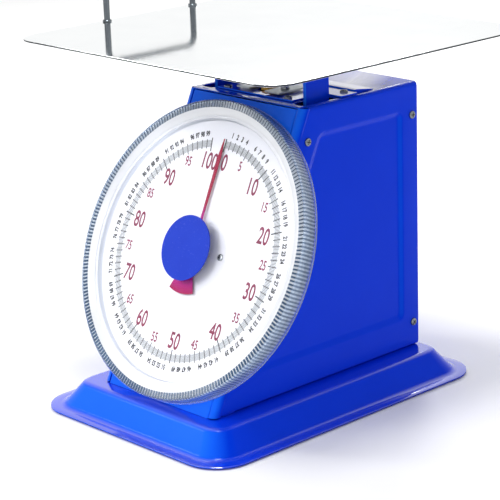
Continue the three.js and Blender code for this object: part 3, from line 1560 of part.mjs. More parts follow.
// Rail: a rod bent twice, standing through the pan
function panRail() {
  const x = -panWidth / 2 + railEdgeMargin;
  const half = railLength / 2;
  const top = panRise + railRise;
  const path = new THREE.CurvePath();
  const rise = (y, from, to) => path.add(new THREE.LineCurve3(point(x, y, from), point(x, y, to)));
  rise(-half, panBottom - railTail, top - railBend);
  path.add(new THREE.QuadraticBezierCurve3(
    point(x, -half, top - railBend), point(x, -half, top), point(x, -half + railBend, top)));
  path.add(new THREE.LineCurve3(point(x, -half + railBend, top), point(x, half - railBend, top)));
  path.add(new THREE.QuadraticBezierCurve3(
    point(x, half - railBend, top), point(x, half, top), point(x, half, top - railBend)));
  rise(half, top - railBend, panBottom - railTail);
  const section = new THREE.Shape(Array.from({ length: railSides }, (_, i) => {
    const angle = 2 * Math.PI * i / railSides;
    return new THREE.Vector2(railRodRadius * Math.cos(angle), railRodRadius * Math.sin(angle));
  }));
  const bent = new THREE.ExtrudeGeometry(
    section, { steps: railSteps, bevelEnabled: false, extrudePath: path });
  const nutSeat = panBottom - seatGap - railRodRadius * nutHeightShare;
  return join(solidOf(bent), ...railFeet().map((foot) => nut(railRodRadius, foot.x, foot.y, nutSeat)));
}

function railCollar({ x, y }) {
  const low = panRise + seatGap;
  return ring(railRodRadius + boreGap, railCollarRadius, low, low + railCollarHeight).translate([x, y, 0]);
}

function overloadStop() {
  const high = deckTop + seatGap + stopHeight;
  return turned([
    [0, deckTop + seatGap], [stopRadius, deckTop + seatGap], [stopTopRadius, high], [0, high],
  ]);
}

// Standing pieces
const corners = ['front_left', 'front_right', 'back_left', 'back_right'];
const topPlateScrewNames = ['front_left', 'back_left', 'front_right', 'back_right'];
const sides = ['left', 'right'];

piece('base_tray', baseTray(), finishes.bluePaint());
footPlaces().forEach((place, i) => piece(`rubber_foot_${corners[i]}`, rubberFoot(place), finishes.rubber()));
piece('casing_shell', casingShell(), finishes.bluePaint());
piece('front_panel', frontPanel(), finishes.bluePaint());
piece('back_cover', backCover(), finishes.bluePaint());
piece('top_plate', topPlate(), finishes.bluePaint());
topPlateScrewPlaces().forEach((place, i) => (
  piece(`top_plate_screw_${topPlateScrewNames[i]}`, topPlateScrew(place), finishes.zincSteel())));
piece('clamp_plate', clampPlate(), finishes.zincSteel());
clampScrewPlaces().forEach((place, i) => (
  piece(`clamp_screw_${sides[i]}`, clampScrew(place), finishes.plainSteel())));
piece('dial_dish', dialDish(), finishes.zincSteel(), dial);
piece('dial_face', dialFace(), finishes.whiteFace(), dial);
dialScrewPlaces().forEach((place, i) => (
  piece(`dial_screw_${sides[i]}`, dialScrew(place), finishes.zincSteel(), dial)));
piece('dial_cover', join(coverBody(), fluteBand()), finishes.clearPlastic(), dial);
piece('cover_disc', coverDisc(), finishes.blueLabel(), dial);
piece('movement_front_plate', movementFrontPlate(), finishes.plainSteel(), dial);
piece('movement_rear_plate', movementRearPlate(), finishes.plainSteel(), dial);
piece('front_shaft_bush', shaftBush(frontPlateDepth), finishes.brass(), dial);
piece('rear_shaft_bush', shaftBush(rearPlateDepth), finishes.brass(), dial);
piece('rack_guide', rackGuide(), finishes.brass(), dial);
piece('mechanism_frame', mechanismFrame(), finishes.plainSteel());
piece('upper_lever_rod', leverRod(upperLeverRise), finishes.plainSteel());
piece('lower_lever_rod', leverRod(lowerLeverRise), finishes.plainSteel());
piece('top_bridge', topBridge(), finishes.plainSteel());
piece('overload_stop', overloadStop(), finishes.rubber());

// Zero setting
piece('spring_hanger', springHanger(), finishes.plainSteel());
piece('adjuster_bolt', adjusterBolt(), finishes.plainSteel());
piece('zero_knob', zeroKnob(), finishes.brass());

// Springs with their plugs
springPlaces().forEach(({ x }, i) => {
  piece(`upper_spring_plug_${sides[i]}`, upperPlug(x), finishes.plainSteel());
  piece(`main_spring_${sides[i]}`, mainSpring(x), finishes.springSteel());
  piece(`lower_spring_plug_${sides[i]}`, lowerPlug(x), finishes.plainSteel());
});

// What sinks with the load
piece('load_yoke', loadYoke(), finishes.bluePaint());
piece('spring_channel', springChannel(), finishes.plainSteel());
piece('yoke_crossbar', yokeCrossbar(), finishes.plainSteel());
piece('rack_hanger', rackHanger(), finishes.plainSteel());
piece('pan_support', panSupport(), finishes.plainSteel());
piece('weighing_pan', weighingPan(), finishes.polishedSteel());
piece('pan_rail', panRail(), finishes.polishedSteel());
railFeet().forEach((place, i) => (
  piece(`rail_collar_${['front', 'back'][i]}`, railCollar(place), finishes.polishedSteel())));

// Levers, each in its own turned group at its rod
for (const [name, rise] of [['upper_lever', upperLeverRise], ['lower_lever', lowerLeverRise]]) {
  const pivot = new THREE.Group();
  pivot.position.set(0, leverReach, rise - loadTravel / 2);
  pivot.rotation.x = -leverSwing;
  scale.add(pivot);
  piece(name, lever(), finishes.plainSteel(), pivot);
}

// Rack, pinion and needle
piece('rack', rack(), finishes.brass(), dial);
piece('rack_pin', rackPin(), finishes.plainSteel(), dial);
piece('pinion', pinion(), finishes.brass(), dial);
piece('pointer_shaft', pointerShaft(), finishes.plainSteel(), dial);
piece('pointer_hub', pointerHub(), finishes.brass(), dial);
piece('needle', needle(), finishes.redNeedle(), dial);

console.log(`least gap between turns of a main spring: ${leastCoilGap().toFixed(2)} mm`);
console.log(`load travel at full scale: ${loadTravel.toFixed(3)} mm`);
console.log(`rack travel at full scale: ${rackTravel.toFixed(3)} mm`);

export default scale;
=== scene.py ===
from math import atan, cos, pi, radians, sin, tan

import bpy
import bmesh
from mathutils import Matrix, Vector


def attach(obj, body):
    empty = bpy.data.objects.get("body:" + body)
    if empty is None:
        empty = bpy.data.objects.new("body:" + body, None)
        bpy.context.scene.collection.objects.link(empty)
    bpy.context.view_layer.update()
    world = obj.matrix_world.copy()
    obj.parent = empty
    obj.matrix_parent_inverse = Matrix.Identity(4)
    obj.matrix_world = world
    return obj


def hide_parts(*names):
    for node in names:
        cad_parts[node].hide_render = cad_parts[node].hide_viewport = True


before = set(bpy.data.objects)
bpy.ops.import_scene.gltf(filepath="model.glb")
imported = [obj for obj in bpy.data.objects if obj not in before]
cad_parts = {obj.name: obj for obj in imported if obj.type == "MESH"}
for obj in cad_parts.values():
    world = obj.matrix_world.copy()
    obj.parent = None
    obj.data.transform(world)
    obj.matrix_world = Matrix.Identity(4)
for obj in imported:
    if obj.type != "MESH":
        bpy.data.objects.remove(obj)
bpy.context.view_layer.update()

scene = bpy.context.scene
print("frame loaded")


def addObject(name, data):
    made = bpy.data.objects.new(name, data)
    scene.collection.objects.link(made)
    return made


# Camera, from the edges that the photograph shows of tray, casing and pan
camera = {
    "place": (1.2980, -1.2226, 0.6803),
    "azimuth": 46.75,       # degrees round from straight ahead
    "elevation": 17.82,
    "roll": -1.83,
    "lens": 142.0,          # mm, on a sensor of this width
    "sensor": 36,
    "shift": (-0.0227, 0.0618),
}


def addCamera():
    turn, lift = radians(camera["azimuth"]), radians(camera["elevation"])
    back = Vector((sin(turn) * cos(lift), -cos(turn) * cos(lift), sin(lift)))
    right = Vector((cos(turn), sin(turn), 0))
    axes = Matrix((right, back.cross(right), back)).transposed()
    roll = Matrix.Rotation(radians(camera["roll"]), 3, "Z")
    data = bpy.data.cameras.new("photoCamera")
    data.lens = camera["lens"]
    data.sensor_width = camera["sensor"]
    data.shift_x, data.shift_y = camera["shift"]
    view = addObject("photoCamera", data)
    view.matrix_world = Matrix.Translation(camera["place"]) @ (axes @ roll).to_4x4()
    scene.camera = view


addCamera()


# Places: pieces are modelled in millimetres, in the casing's directions or in the dial's
mm = 0.001      # in metres
casing = {
    "width": 154, "bottom": 25.8, "top": 287.8, "middleHeight": 150,
    "back": 116, "frontFoot": -156, "frontTop": -33.5,
    "sheet": 1.5, "edge": 4.5, "outlineShift": 18.5, "dialRise": 141.5,
    "overrun": 300,         # half the length of a front strip before its ends are cut level
}
slope = atan((casing["frontTop"] - casing["frontFoot"]) / (casing["top"] - casing["bottom"]))
standPlace = Matrix.Scale(mm, 4) @ Matrix.Translation((0, casing["outlineShift"], 0))
dialTurn = Matrix.Rotation(pi / 2 - slope, 4, "X")
dialOrigin = Vector((0, casing["frontFoot"] + casing["dialRise"] * sin(slope),
                     casing["bottom"] + casing["dialRise"] * cos(slope)))
slopePlace = Matrix.Translation(dialOrigin) @ dialTurn
dialPlace = standPlace @ slopePlace
outOfDial = dialTurn.to_3x3() @ Vector((0, 0, 1))       # straight out of the sloping face


# Materials: a finish's two colours run along its tint and its two roughnesses along its mottle, and its dents
# are a grain of their own
def hexColor(text):
    def linear(part):
        value = int(part, 16) / 255
        return value / 12.92 if value <= 0.04045 else ((value + 0.055) / 1.055) ** 2.4
    text = text.lstrip("#")
    return (linear(text[0:2]), linear(text[2:4]), linear(text[4:6]), 1)


def addNode(tree, kind, inputs=None, **settings):
    node = tree.nodes.new(kind)
    for name, value in settings.items():
        setattr(node, name, value)
    for key, value in (inputs or {}).items():
        if isinstance(value, bpy.types.NodeSocket):
            tree.links.new(value, node.inputs[key])
        else:
            node.inputs[key].default_value = value
    return node


# A grain is its size in mm, its detail, and how much closer it lies along x, y and z; depth is in mm. Grains
# that are really finer than half a millimetre are drawn coarser, so that they show in a picture
even = (1, 1, 1)
metal = {"Metallic": 1.0}


def finish(name, colors, tint, gloss, mottle, inputs, dents=None, depth=0):
    material = bpy.data.materials.new(name)
    material.use_nodes = True
    tree = material.node_tree
    tree.nodes.clear()
    place = addNode(tree, "ShaderNodeTexCoord").outputs["Object"]
    grains = {"tint": 0, "mottle": 0}       # both stay even where no grain is given
    for use, grain in (("tint", tint), ("mottle", mottle), ("dents", dents)):
        if grain:
            size, detail, closer = grain
            spread = addNode(tree, "ShaderNodeMapping", {"Vector": place, "Scale": closer})
            grains[use] = addNode(tree, "ShaderNodeTexNoise", {
                "Vector": spread.outputs[0], "Scale": 1 / (size * mm), "Detail": detail}, name=use).outputs[0]
    color = addNode(tree, "ShaderNodeMix", {
        0: grains["tint"], 6: hexColor(colors[0]), 7: hexColor(colors[1])}, data_type="RGBA", name="color")
    rough = addNode(tree, "ShaderNodeMapRange", {
        "Value": grains["mottle"], "To Min": gloss[0], "To Max": gloss[1]})
    shader = addNode(tree, "ShaderNodeBsdfPrincipled", {
        "Base Color": color.outputs[2], "Roughness": rough.outputs[0], **inputs}, name="shader")
    if dents:
        bump = addNode(tree, "ShaderNodeBump", {"Height": grains["dents"], "Distance": depth * mm})
        tree.links.new(bump.outputs[0], shader.inputs["Normal"])
    addNode(tree, "ShaderNodeOutputMaterial", {"Surface": shader.outputs[0]})
    return material


enamel = {
    "deep": ("#0034d8", "#033ae2"), "paintedLightBlue": ("#1462f2", "#1a6af8"), "sheen": "#2a70ff",
    "front": (-0.25, -0.75), "level": (0.8, 0.98),      # lean where the painted light on the front and the coat on the level faces start, and are full
}


def blueEnamel():
    # Stoved gloss enamel on sheet steel: a wet shine, a faint orange peel, a lighter blue on the faces that
    # look to the front, which is painted light, and a coat on the level faces only, which is a painted sheen
    material = finish("stovedBlueEnamel", enamel["deep"], (60, 2, even), (0.14, 0.22), (9, 4, even), {
        "IOR": 1.5, "Specular IOR Level": 0.2, "Specular Tint": hexColor(enamel["sheen"]),
        "Coat IOR": 2.2, "Coat Roughness": 0.06}, dents=(2.2, 1, even), depth=0.012)
    tree = material.node_tree
    shader, deep = tree.nodes["shader"], tree.nodes["color"]
    # Painted light: the lighter blue laid on the faces that look to the front
    paintedLightBlue = addNode(tree, "ShaderNodeMix", {
        0: tree.nodes["tint"].outputs[0], 6: hexColor(enamel["paintedLightBlue"][0]), 7: hexColor(enamel["paintedLightBlue"][1])},
        data_type="RGBA")
    leaning = addNode(tree, "ShaderNodeSeparateXYZ", {
        "Vector": addNode(tree, "ShaderNodeTexCoord").outputs["Normal"]})
    front, level = [addNode(tree, "ShaderNodeMapRange", {
        "Value": leaning.outputs[axis], "From Min": enamel[way][0], "From Max": enamel[way][1]}).outputs[0]
        for axis, way in (("Y", "front"), ("Z", "level"))]
    color = addNode(tree, "ShaderNodeMix", {
        0: front, 6: deep.outputs[2], 7: paintedLightBlue.outputs[2]}, data_type="RGBA")
    tree.links.new(color.outputs[2], shader.inputs["Base Color"])
    # Painted sheen: the coat is laid on the level faces only
    tree.links.new(level, shader.inputs["Coat Weight"])
    return material


needleRedAndPaintedReflection = {"colors": ("#b8008a", "#9a0036"), "paintedReflectionFade": (31, 44)}        # mm out from the shaft


def needleRed():
    # Red lacquer on sheet metal, crimson towards the tip; the magenta round the hub is a painted
    # reflection of the cover
    material = finish("crimsonNeedleLacquer", needleRedAndPaintedReflection["colors"], None, (0.3, 0.4), (2, 2, even), {
        "IOR": 1.5, "Specular IOR Level": 0.2})
    tree = material.node_tree
    place = addNode(tree, "ShaderNodeTexCoord").outputs["Object"]
    away = addNode(tree, "ShaderNodeVectorMath", {0: place, 1: dialPlace.translation}, operation="DISTANCE")
    near, far = needleRedAndPaintedReflection["paintedReflectionFade"]
    # The painted reflection fades out between these distances from the shaft
    share = addNode(tree, "ShaderNodeMapRange", {
        "Value": away.outputs["Value"], "From Min": near * mm, "From Max": far * mm})
    tree.links.new(share.outputs[0], tree.nodes["color"].inputs[0])
    return material


shadowPassed = 0.92     # share of the light that the thin moulding lets through to the dial


def clearMoulding(name, colors, tint, gloss, mottle, ior, clear):
    material = finish(name, colors, tint, gloss, mottle, {"IOR": ior, "Transmission Weight": clear})
    tree = material.node_tree
    ray = addNode(tree, "ShaderNodeLightPath").outputs["Is Shadow Ray"]
    stopped = addNode(tree, "ShaderNodeMath", {0: ray, 1: -shadowPassed, 2: 1.0}, operation="MULTIPLY_ADD")
    tree.links.new(stopped.outputs[0], tree.nodes["shader"].inputs["Alpha"])
    return material


blue = blueEnamel()
red = needleRed()

# Stainless sheet, mill polished: a near mirror with fine lines of the roll along it, drawn coarser
cloud, rollLines = (45, 2, even), (1.2, 3, (1, 0.02, 1))
steel = finish("polishedStainless", ("#f1f4f5", "#fafcfc"), cloud,
               (0.05, 0.11), rollLines, metal, dents=cloud, depth=0.03)

# Chrome plated rod: a mirror toned dark in streaks along the upright legs, which are painted reflections, as
# it shows in the photograph
chromePaintedReflections = finish("chromePlate", ("#15181b", "#8b9299"), (2, 2, (1, 1, 0.06)),
                (0.04, 0.09), (3, 2, even), metal)

# Bright zinc plating on steel: pale grey, slightly cloudy, a soft shine
cloud = (7, 4, even)
zinc = finish("brightZincPlate", ("#8d9295", "#b2b6b7"), cloud,
              (0.22, 0.4), cloud, metal, dents=(0.8, 2, even), depth=0.01)

# Cold rolled steel left bare under a film of oil: grey with a dull sheen, its rolling grain drawn coarser
rolled = (1.5, 4, (1, 1, 0.1))
bare = finish("oiledRolledSteel", ("#7f858a", "#a5aaad"), (14, 3, even),
              (0.28, 0.45), rolled, metal, dents=rolled, depth=0.02)

# Tempered spring wire: blue grey, darker than the sheet round it
wireSteel = finish("temperedSpringWire", ("#4c5157", "#6c7278"), (6, 2, even),
                   (0.25, 0.4), (2, 2, even), metal)

# Turned brass: warm yellow with a slight tarnish and fine tool rings, drawn coarser
rings = (0.5, 1, (0.05, 0.05, 1))
brass = finish("turnedBrass", ("#a97f3a", "#d3a85c"), (5, 3, even),
               (0.2, 0.36), rings, metal, dents=rings, depth=0.02)

# Nickel plated screw steel: a grey mirror, darker than zinc
screwSteel = finish("nickelPlatedScrews", ("#54585d", "#a0a5ab"), (2, 2, even),
                    (0.16, 0.3), (1, 2, even), metal)

# Edge that the shears left round the pan: dark, which is painted shade, dull, torn in fine lines
tears = (0.6, 3, (1, 1, 0.2))
panEdgePaintedShade = finish("shearedEdgePaintedShade", ("#15181a", "#3a3f44"), tears, (0.35, 0.5), tears, metal)

# Moulded black rubber: matt, dusty on its faces
dust = (4, 4, even)
rubber = finish("mouldedBlackRubber", ("#161616", "#2a2a2a"), dust,
                (0.65, 0.85), dust, {"IOR": 1.5}, dents=(0.9, 2, even), depth=0.03)

# White enamel under the print: clean, with the slightest unevenness
whiteCoat = (35, 2, even), (0.32, 0.42), (5, 2, even), {"IOR": 1.5}, (1.6, 2, even), 0.006
dialWhite = finish("whiteDialEnamel", ("#ececf1", "#f3f3f6"), *whiteCoat)
dishWhite = finish("greyWhiteDishEnamel", ("#e6e9ef", "#eff1f5"), *whiteCoat)

# Silk screened ink: dense, a little uneven where the screen left it thinner
inkFilm = (1.4, 3, even), (0.45, 0.6), (1, 2, even), {"IOR": 1.5}
crimsonInk = finish("crimsonDialInk", ("#74083a", "#8c1044"), *inkFilm)
blackInk = finish("blackDialInk", ("#141418", "#26262c"), *inkFilm)
greenInk = finish("greyGreenDialInk", ("#3c4c48", "#4c5c58"), *inkFilm)

# Painted shade in the cross recesses: nearly black and matt
recessPaintedShade = finish("shadowedScrewRecess", ("#26282b", "#3a3d40"), *inkFilm)

# Blue film under clear lacquer on the plastic disc: deep, with a quiet gloss
blueDisc = finish("lacqueredBlueDisc", ("#1238c4", "#1840ce"), (18, 2, even),
                  (0.22, 0.3), (2, 2, even), {"IOR": 1.45, "Specular IOR Level": 0.3})

# Clear polystyrene, moulded: the window is so thin and glossy that it hardly tints what lies under it
windowClear = clearMoulding("clearPolystyreneWindow", ("#fbfcff", "#fbfcff"), None,
                            (0.0, 0.02), (20, 2, even), 1.2, 1.0)

# The same where it is fluted, on the shoulder or turned down: what lies behind is bent into pale and dark
# streaks, which are painted here, the pale crests and shoulder as painted highlights, the dark valleys as
# painted shade
streaks = (30, 2, even), (0.08, 0.16), (3, 2, even), 1.49
fluteCrestPaintedHighlight = clearMoulding("clearFluteCrests", ("#e8f0f8", "#d2deea"), *streaks, 0.7)
fluteValleyPaintedShade = clearMoulding("clearFluteValleys", ("#26405c", "#3c5878"), *streaks, 0.35)
skirtClear = clearMoulding("clearCoverSkirt", ("#bcd2ee", "#d6e4f6"), *streaks, 0.9)
shoulderPaintedHighlight = clearMoulding("coverShoulderPaintedHighlight", ("#f4f6fb", "#fbfcff"), *streaks, 0.3)
print("materials made")


# Shapes
closeness = {"merge": 0.01, "fine": 0.001, "cut": 0.0001}       # mm between points that count as one


def weighNormals(made):
    # Keeps flat faces flat beside rounded edges, and has to come after every other modifier
    last = made.modifiers.get("flatFacesStayFlat")
    if last:
        made.modifiers.remove(last)
    made.modifiers.new("flatFacesStayFlat", "WEIGHTED_NORMAL").keep_sharp = True


def meshOf(bm, name):
    mesh = bpy.data.meshes.new(name)
    bm.to_mesh(mesh)
    bm.free()
    return mesh


def bakedMesh(made):
    return bpy.data.meshes.new_from_object(made.evaluated_get(bpy.context.evaluated_depsgraph_get()))


def finishPiece(bm, name, body, materials, nodes, place=standPlace, sharp=32):
    bmesh.ops.transform(bm, matrix=place, verts=bm.verts)
    mesh = meshOf(bm, name)
    mesh.shade_smooth()
    mesh.set_sharp_from_angle(angle=radians(sharp))
    for material in materials:
        mesh.materials.append(material)
    made = addObject(name, mesh)
    weighNormals(made)
    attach(made, body)
    if nodes:
        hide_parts(*nodes)
    return made


def thicken(made, sheet):
    walls = made.modifiers.new("sheetThickness", "SOLIDIFY")
    walls.thickness = sheet * mm
    walls.offset = -1
    walls.use_even_offset = True
    weighNormals(made)


def paintedSheet(bm, name, nodes, body="stand", sheet=casing["sheet"]):
    made = finishPiece(bm, name, body, [blue], nodes, sharp=25)
    thicken(made, sheet)
    return made


def only(items, kind):
    return [item for item in items if isinstance(item, kind)]


def roundCorners(bm, corners, radius, segments=6):
    if radius:
        bmesh.ops.bevel(bm, geom=corners, affect="VERTICES", offset=radius, offset_type="OFFSET",
                        segments=segments, profile=0.5, material=-1)


def roundEdges(bm, edges, radius, segments=3):
    bmesh.ops.bevel(bm, geom=edges, affect="EDGES", offset=radius, offset_type="OFFSET",
                    segments=segments, profile=0.5, material=-1)


def outlineFace(bm, points, radius=0, segments=6):
    before = set(bm.verts)
    face = bm.faces.new([bm.verts.new(point) for point in points])
    roundCorners(bm, list(face.verts), radius, segments)
    made = [vert for vert in bm.verts if vert not in before]
    return made[0].link_faces[0]


def loopOf(bm, points, radius=0, segments=6):
    face = outlineFace(bm, points, radius, segments)
    edges = list(face.edges)
    bmesh.ops.delete(bm, geom=[face], context="FACES_ONLY")
    return edges


def rectangle(width, depth, z=0, middle=(0, 0)):
    x, y = middle
    return [(x - width / 2, y - depth / 2, z), (x + width / 2, y - depth / 2, z),
            (x + width / 2, y + depth / 2, z), (x - width / 2, y + depth / 2, z)]


def bridge(bm, loops):
    for near, far in zip(loops, loops[1:]):
        bmesh.ops.bridge_loops(bm, edges=near + far)


def pull(bm, faces, step):
    pulled = bmesh.ops.extrude_face_region(bm, geom=faces)["geom"]
    bmesh.ops.translate(bm, vec=step, verts=only(pulled, bmesh.types.BMVert))


def drawOut(bm, edges, step):
    pulled = bmesh.ops.extrude_edge_only(bm, edges=edges)["geom"]
    bmesh.ops.translate(bm, vec=step, verts=only(pulled, bmesh.types.BMVert))
    return [edge for edge in only(pulled, bmesh.types.BMEdge) if all(vert in pulled for vert in edge.verts)]


def foldedStrip(bm, points, step):
    verts = [bm.verts.new(point) for point in points]
    drawOut(bm, [bm.edges.new(pair) for pair in zip(verts, verts[1:])], step)


def outward(bm):
    bmesh.ops.remove_doubles(bm, verts=bm.verts, dist=closeness["fine"])
    bmesh.ops.recalc_face_normals(bm, faces=bm.faces)


def turnOut(bm, face, direction):
    # Open sheets have no outside of their own, so one face says which way all of them look
    bmesh.ops.recalc_face_normals(bm, faces=bm.faces)
    if face.normal.dot(Vector(direction)) < 0:
        bmesh.ops.reverse_faces(bm, faces=bm.faces)


def cornersOver(bm, angle=60, level=None):
    found = [edge for edge in bm.edges if edge.is_manifold and edge.calc_face_angle(0) > radians(angle)]
    if level is None:
        return found
    return [edge for edge in found if all(abs(vert.co.z - level) < closeness["merge"] for vert in edge.verts)]


def plate(bm, points, radius, thickness, edge=0, segments=6):
    pull(bm, [outlineFace(bm, points, radius, segments)], (0, 0, thickness))
    outward(bm)
    if edge:
        roundEdges(bm, cornersOver(bm), edge, segments=2)


def revolve(bm, profile, steps):
    verts = [bm.verts.new((radius, 0, height)) for radius, height in profile]
    edges = [bm.edges.new(pair) for pair in zip(verts, verts[1:])]
    bmesh.ops.spin(bm, geom=verts + edges, cent=(0, 0, 0), axis=(0, 0, 1), dvec=(0, 0, 0),
                   angle=2 * pi, steps=steps, use_merge=True, use_duplicate=False)
    outward(bm)


def addCopy(bm, mesh, place):
    before = set(bm.verts)
    bm.from_mesh(mesh)
    bmesh.ops.transform(bm, matrix=place, verts=[vert for vert in bm.verts if vert not in before])


# Screws: a pan head with a cross recess, made once for a piece and copied to its seats
screwShape = {
    "profileShares": ((0, 0), (1, 0), (1, 0.45), (0.93, 0.67), (0.72, 0.87), (0.4, 0.97), (0, 1)),
    "recessWidth": 0.24, "recessReach": 0.62, "recessFloor": 0.5,       # shares of radius, radius and height
    "darkBelow": 0.6, "steps": 24, "firstTurn": 23, "nextTurn": 51,
}


def crossHead(radius, height):
    head = bmesh.new()
    profile = [(radius * out, height * up) for out, up in screwShape["profileShares"]]
    revolve(head, profile, screwShape["steps"])
    made = addObject("screwHead", meshOf(head, "screwHead"))
    size = (radius * screwShape["recessReach"] * 2, radius * screwShape["recessWidth"], height, 1)
    middle = height * screwShape["recessFloor"] + height / 2        # of a cutting arm as tall as the head
    cutters = []
    for turn in (0, pi / 2):
        arm = bmesh.new()
        turned = Matrix.Rotation(turn, 4, "Z") @ Matrix.Translation((0, 0, middle))
        bmesh.ops.create_cube(arm, size=1, matrix=turned @ Matrix.Diagonal(size))
        cutters.append(addObject("recessArm", meshOf(arm, "recessArm")))
        cut = made.modifiers.new("recess", "BOOLEAN")
        cut.operation = "DIFFERENCE"
        cut.solver = "EXACT"
        cut.object = cutters[-1]
    whole = bakedMesh(made)
    for spare in [made, *cutters]:
        bpy.data.objects.remove(spare)
    for face in whole.polygons:
        within = Vector(face.center[:2]).length < radius * screwShape["recessReach"]
        sunk = face.center.z < height * screwShape["darkBelow"]
        if within and (sunk or abs(face.normal.z) < 0.5):       # the recess's walls and floor
            face.material_index = 1
    return whole


def screwPiece(name, body, size, seats, direction, nodes=(), place=standPlace, plating=screwSteel):
    bm = bmesh.new()
    head = crossHead(*size)
    upright = Vector(direction).to_track_quat("Z", "Y").to_matrix().to_4x4()
    for index, seat in enumerate(seats):
        turn = radians(screwShape["firstTurn"] + screwShape["nextTurn"] * index)
        addCopy(bm, head, Matrix.Translation(seat) @ upright @ Matrix.Rotation(turn, 4, "Z"))
    finishPiece(bm, name, body, [plating, recessPaintedShade], nodes, place)


# Base tray: one pressed sheet with a flat flange, a sloping wall and a deck
tray = {
    "size": (254, 352), "middle": -24, "flange": 11.5, "wallRun": 17.5, "flangeTop": 3.0, "deckTop": 25.5,
    "corners": (36, 27, 18), "bend": 4, "sheet": 1.5,
}


def makeTray():
    bm = bmesh.new()
    width, depth = tray["size"]
    steps = [(0, tray["flangeTop"]), (tray["flange"], tray["flangeTop"]),
             (tray["flange"] + tray["wallRun"], tray["deckTop"])]
    loops = []
    for (inset, level), corner in zip(steps, tray["corners"]):
        points = rectangle(width - inset * 2, depth - inset * 2, level, (0, tray["middle"]))
        loops.append(loopOf(bm, points, corner, segments=12))
    bridge(bm, loops)
    deck = bmesh.ops.contextual_create(bm, geom=loops[-1])["faces"]
    turnOut(bm, deck[0], (0, 0, 1))
    roundEdges(bm, [edge for edge in loops[1] + loops[2] if edge.is_valid], tray["bend"], segments=5)
    paintedSheet(bm, "baseTray", ["base_tray"], sheet=tray["sheet"])


foot = {
    "top": 11, "bottom": 9, "height": 23.7, "edge": 0.7, "recess": 5.5, "recessDepth": 12, "hole": 2.9,
    "screw": (5.0, 2.5), "screwSunk": 0.3,
    "places": {"front_left": (-66, -96), "front_right": (66, -96),
               "back_left": (-66, 62), "back_right": (66, 62)},
}


def makeFeet():
    hole, recess, deep, high = foot["hole"], foot["recess"], foot["recessDepth"], foot["height"]
    for corner, (x, y) in foot["places"].items():
        bm = bmesh.new()
        revolve(bm, [(hole, deep), (recess, deep), (recess, 0), (foot["bottom"], 0), (foot["top"], high),
                     (hole, high), (hole, deep)], steps=48)
        roundEdges(bm, cornersOver(bm, level=0), foot["edge"])
        bmesh.ops.translate(bm, vec=(x, y, 0), verts=bm.verts)
        name = "RubberFoot" + corner.title().replace("_", "")
        finishPiece(bm, name, "stand", [rubber], ["rubber_foot_" + corner])
    seats = [(x, y, deep - foot["screwSunk"]) for x, y in foot["places"].values()]
    screwPiece("footScrews", "stand", foot["screw"], seats, (0, 0, -1))


makeTray()
makeFeet()
print("tray and feet made")


# Casing shell: top and both sides in one sheet, each side with its pressed panel
press = {"depth": 2.5, "run": 6.5, "front": 27, "back": 20, "top": 25, "bottom": 30, "corner": 8, "rows": 8}
shell = {"bend": 7, "lip": 0.8, "foot": 60, "frontCut": 2, "endGap": 0.8}
topOpenings = {
    "windowHalf": 46, "windowFront": -11, "windowBack": 28,
    "slotInner": 53, "slotOuter": 69, "slotFront": -25, "slotBack": 18, "corner": 4,
}
step = {"height": 3, "front": 41, "land": 5, "run": 24, "half": 68, "sunk": 0.4, "edge": 1.2}
panel = {"seam": 0.3, "fold": 8, "flangeTop": 12, "flangeFoot": 24, "bend": 1.9, "footGap": 0.1}
backSheet = {"seam": 0.3, "inset": 0.6, "corner": 3.3, "flange": 15, "bend": 2.2}
sideScrews = {
    "size": (3.8, 2.2), "sunk": 0.1,
    "fromFront": 17.66, "frontHeights": (69.8, 256.8), "back": 108.5, "backHeights": (50.8, 256.8),
}


def frontAt(z):
    return casing["frontFoot"] + (z - casing["bottom"]) * tan(slope)


def pressPoints(x, grow):
    low = casing["bottom"] + press["bottom"] - grow
    high = casing["top"] - press["top"] + grow
    back = casing["back"] - press["back"] + grow
    ahead = (press["front"] - grow) / cos(slope)
    return [(x, frontAt(low) + ahead, low), (x, back, low), (x, back, high), (x, frontAt(high) + ahead, high)]


def everything(bm):
    return [*bm.verts, *bm.edges, *bm.faces]


def topSheet(bm):
    half, edge, top = casing["width"] / 2, casing["edge"], casing["top"]
    front, back = casing["frontTop"], casing["back"]
    outline = [(0, front, top), (half - shell["bend"], front, top),
               (half - edge, front + shell["frontCut"], top), (half - edge, back, top), (0, back, top)]
    near, far, out = topOpenings["windowFront"], topOpenings["windowBack"], topOpenings["windowHalf"]
    window = [(0, far, top), (out, far, top), (out, near, top), (0, near, top)]
    sheet = outlineFace(bm, outline + window)
    corners = [vert for vert in sheet.verts if any(
        (vert.co - Vector(point)).length < closeness["merge"] for point in window[1:3])]
    roundCorners(bm, corners, topOpenings["corner"])
    rim = list(bm.edges)
    bmesh.ops.delete(bm, geom=list(bm.faces), context="FACES_ONLY")
    inner, outer = topOpenings["slotInner"], topOpenings["slotOuter"]
    near, far = topOpenings["slotFront"], topOpenings["slotBack"]
    slot = loopOf(bm, rectangle(outer - inner, far - near, top, ((inner + outer) / 2, (near + far) / 2)),
                  topOpenings["corner"])
    bmesh.ops.triangle_fill(bm, edges=rim + slot, use_beauty=True, normal=(0, 0, 1))


def spunStrip(bm, ends, centre, turn, steps):
    verts = [bm.verts.new(end) for end in ends]
    edge = bm.edges.new(verts)
    bmesh.ops.spin(bm, geom=verts + [edge], cent=centre, axis=(0, 1, 0), dvec=(0, 0, 0), angle=turn,
                   steps=steps, use_duplicate=False)


def keepBetween(bm, low, high):
    for level, out in ((low, -1), (high, 1)):
        bmesh.ops.bisect_plane(bm, geom=everything(bm), dist=closeness["cut"], plane_co=(0, 0, level),
                               plane_no=(0, 0, out), clear_outer=True)


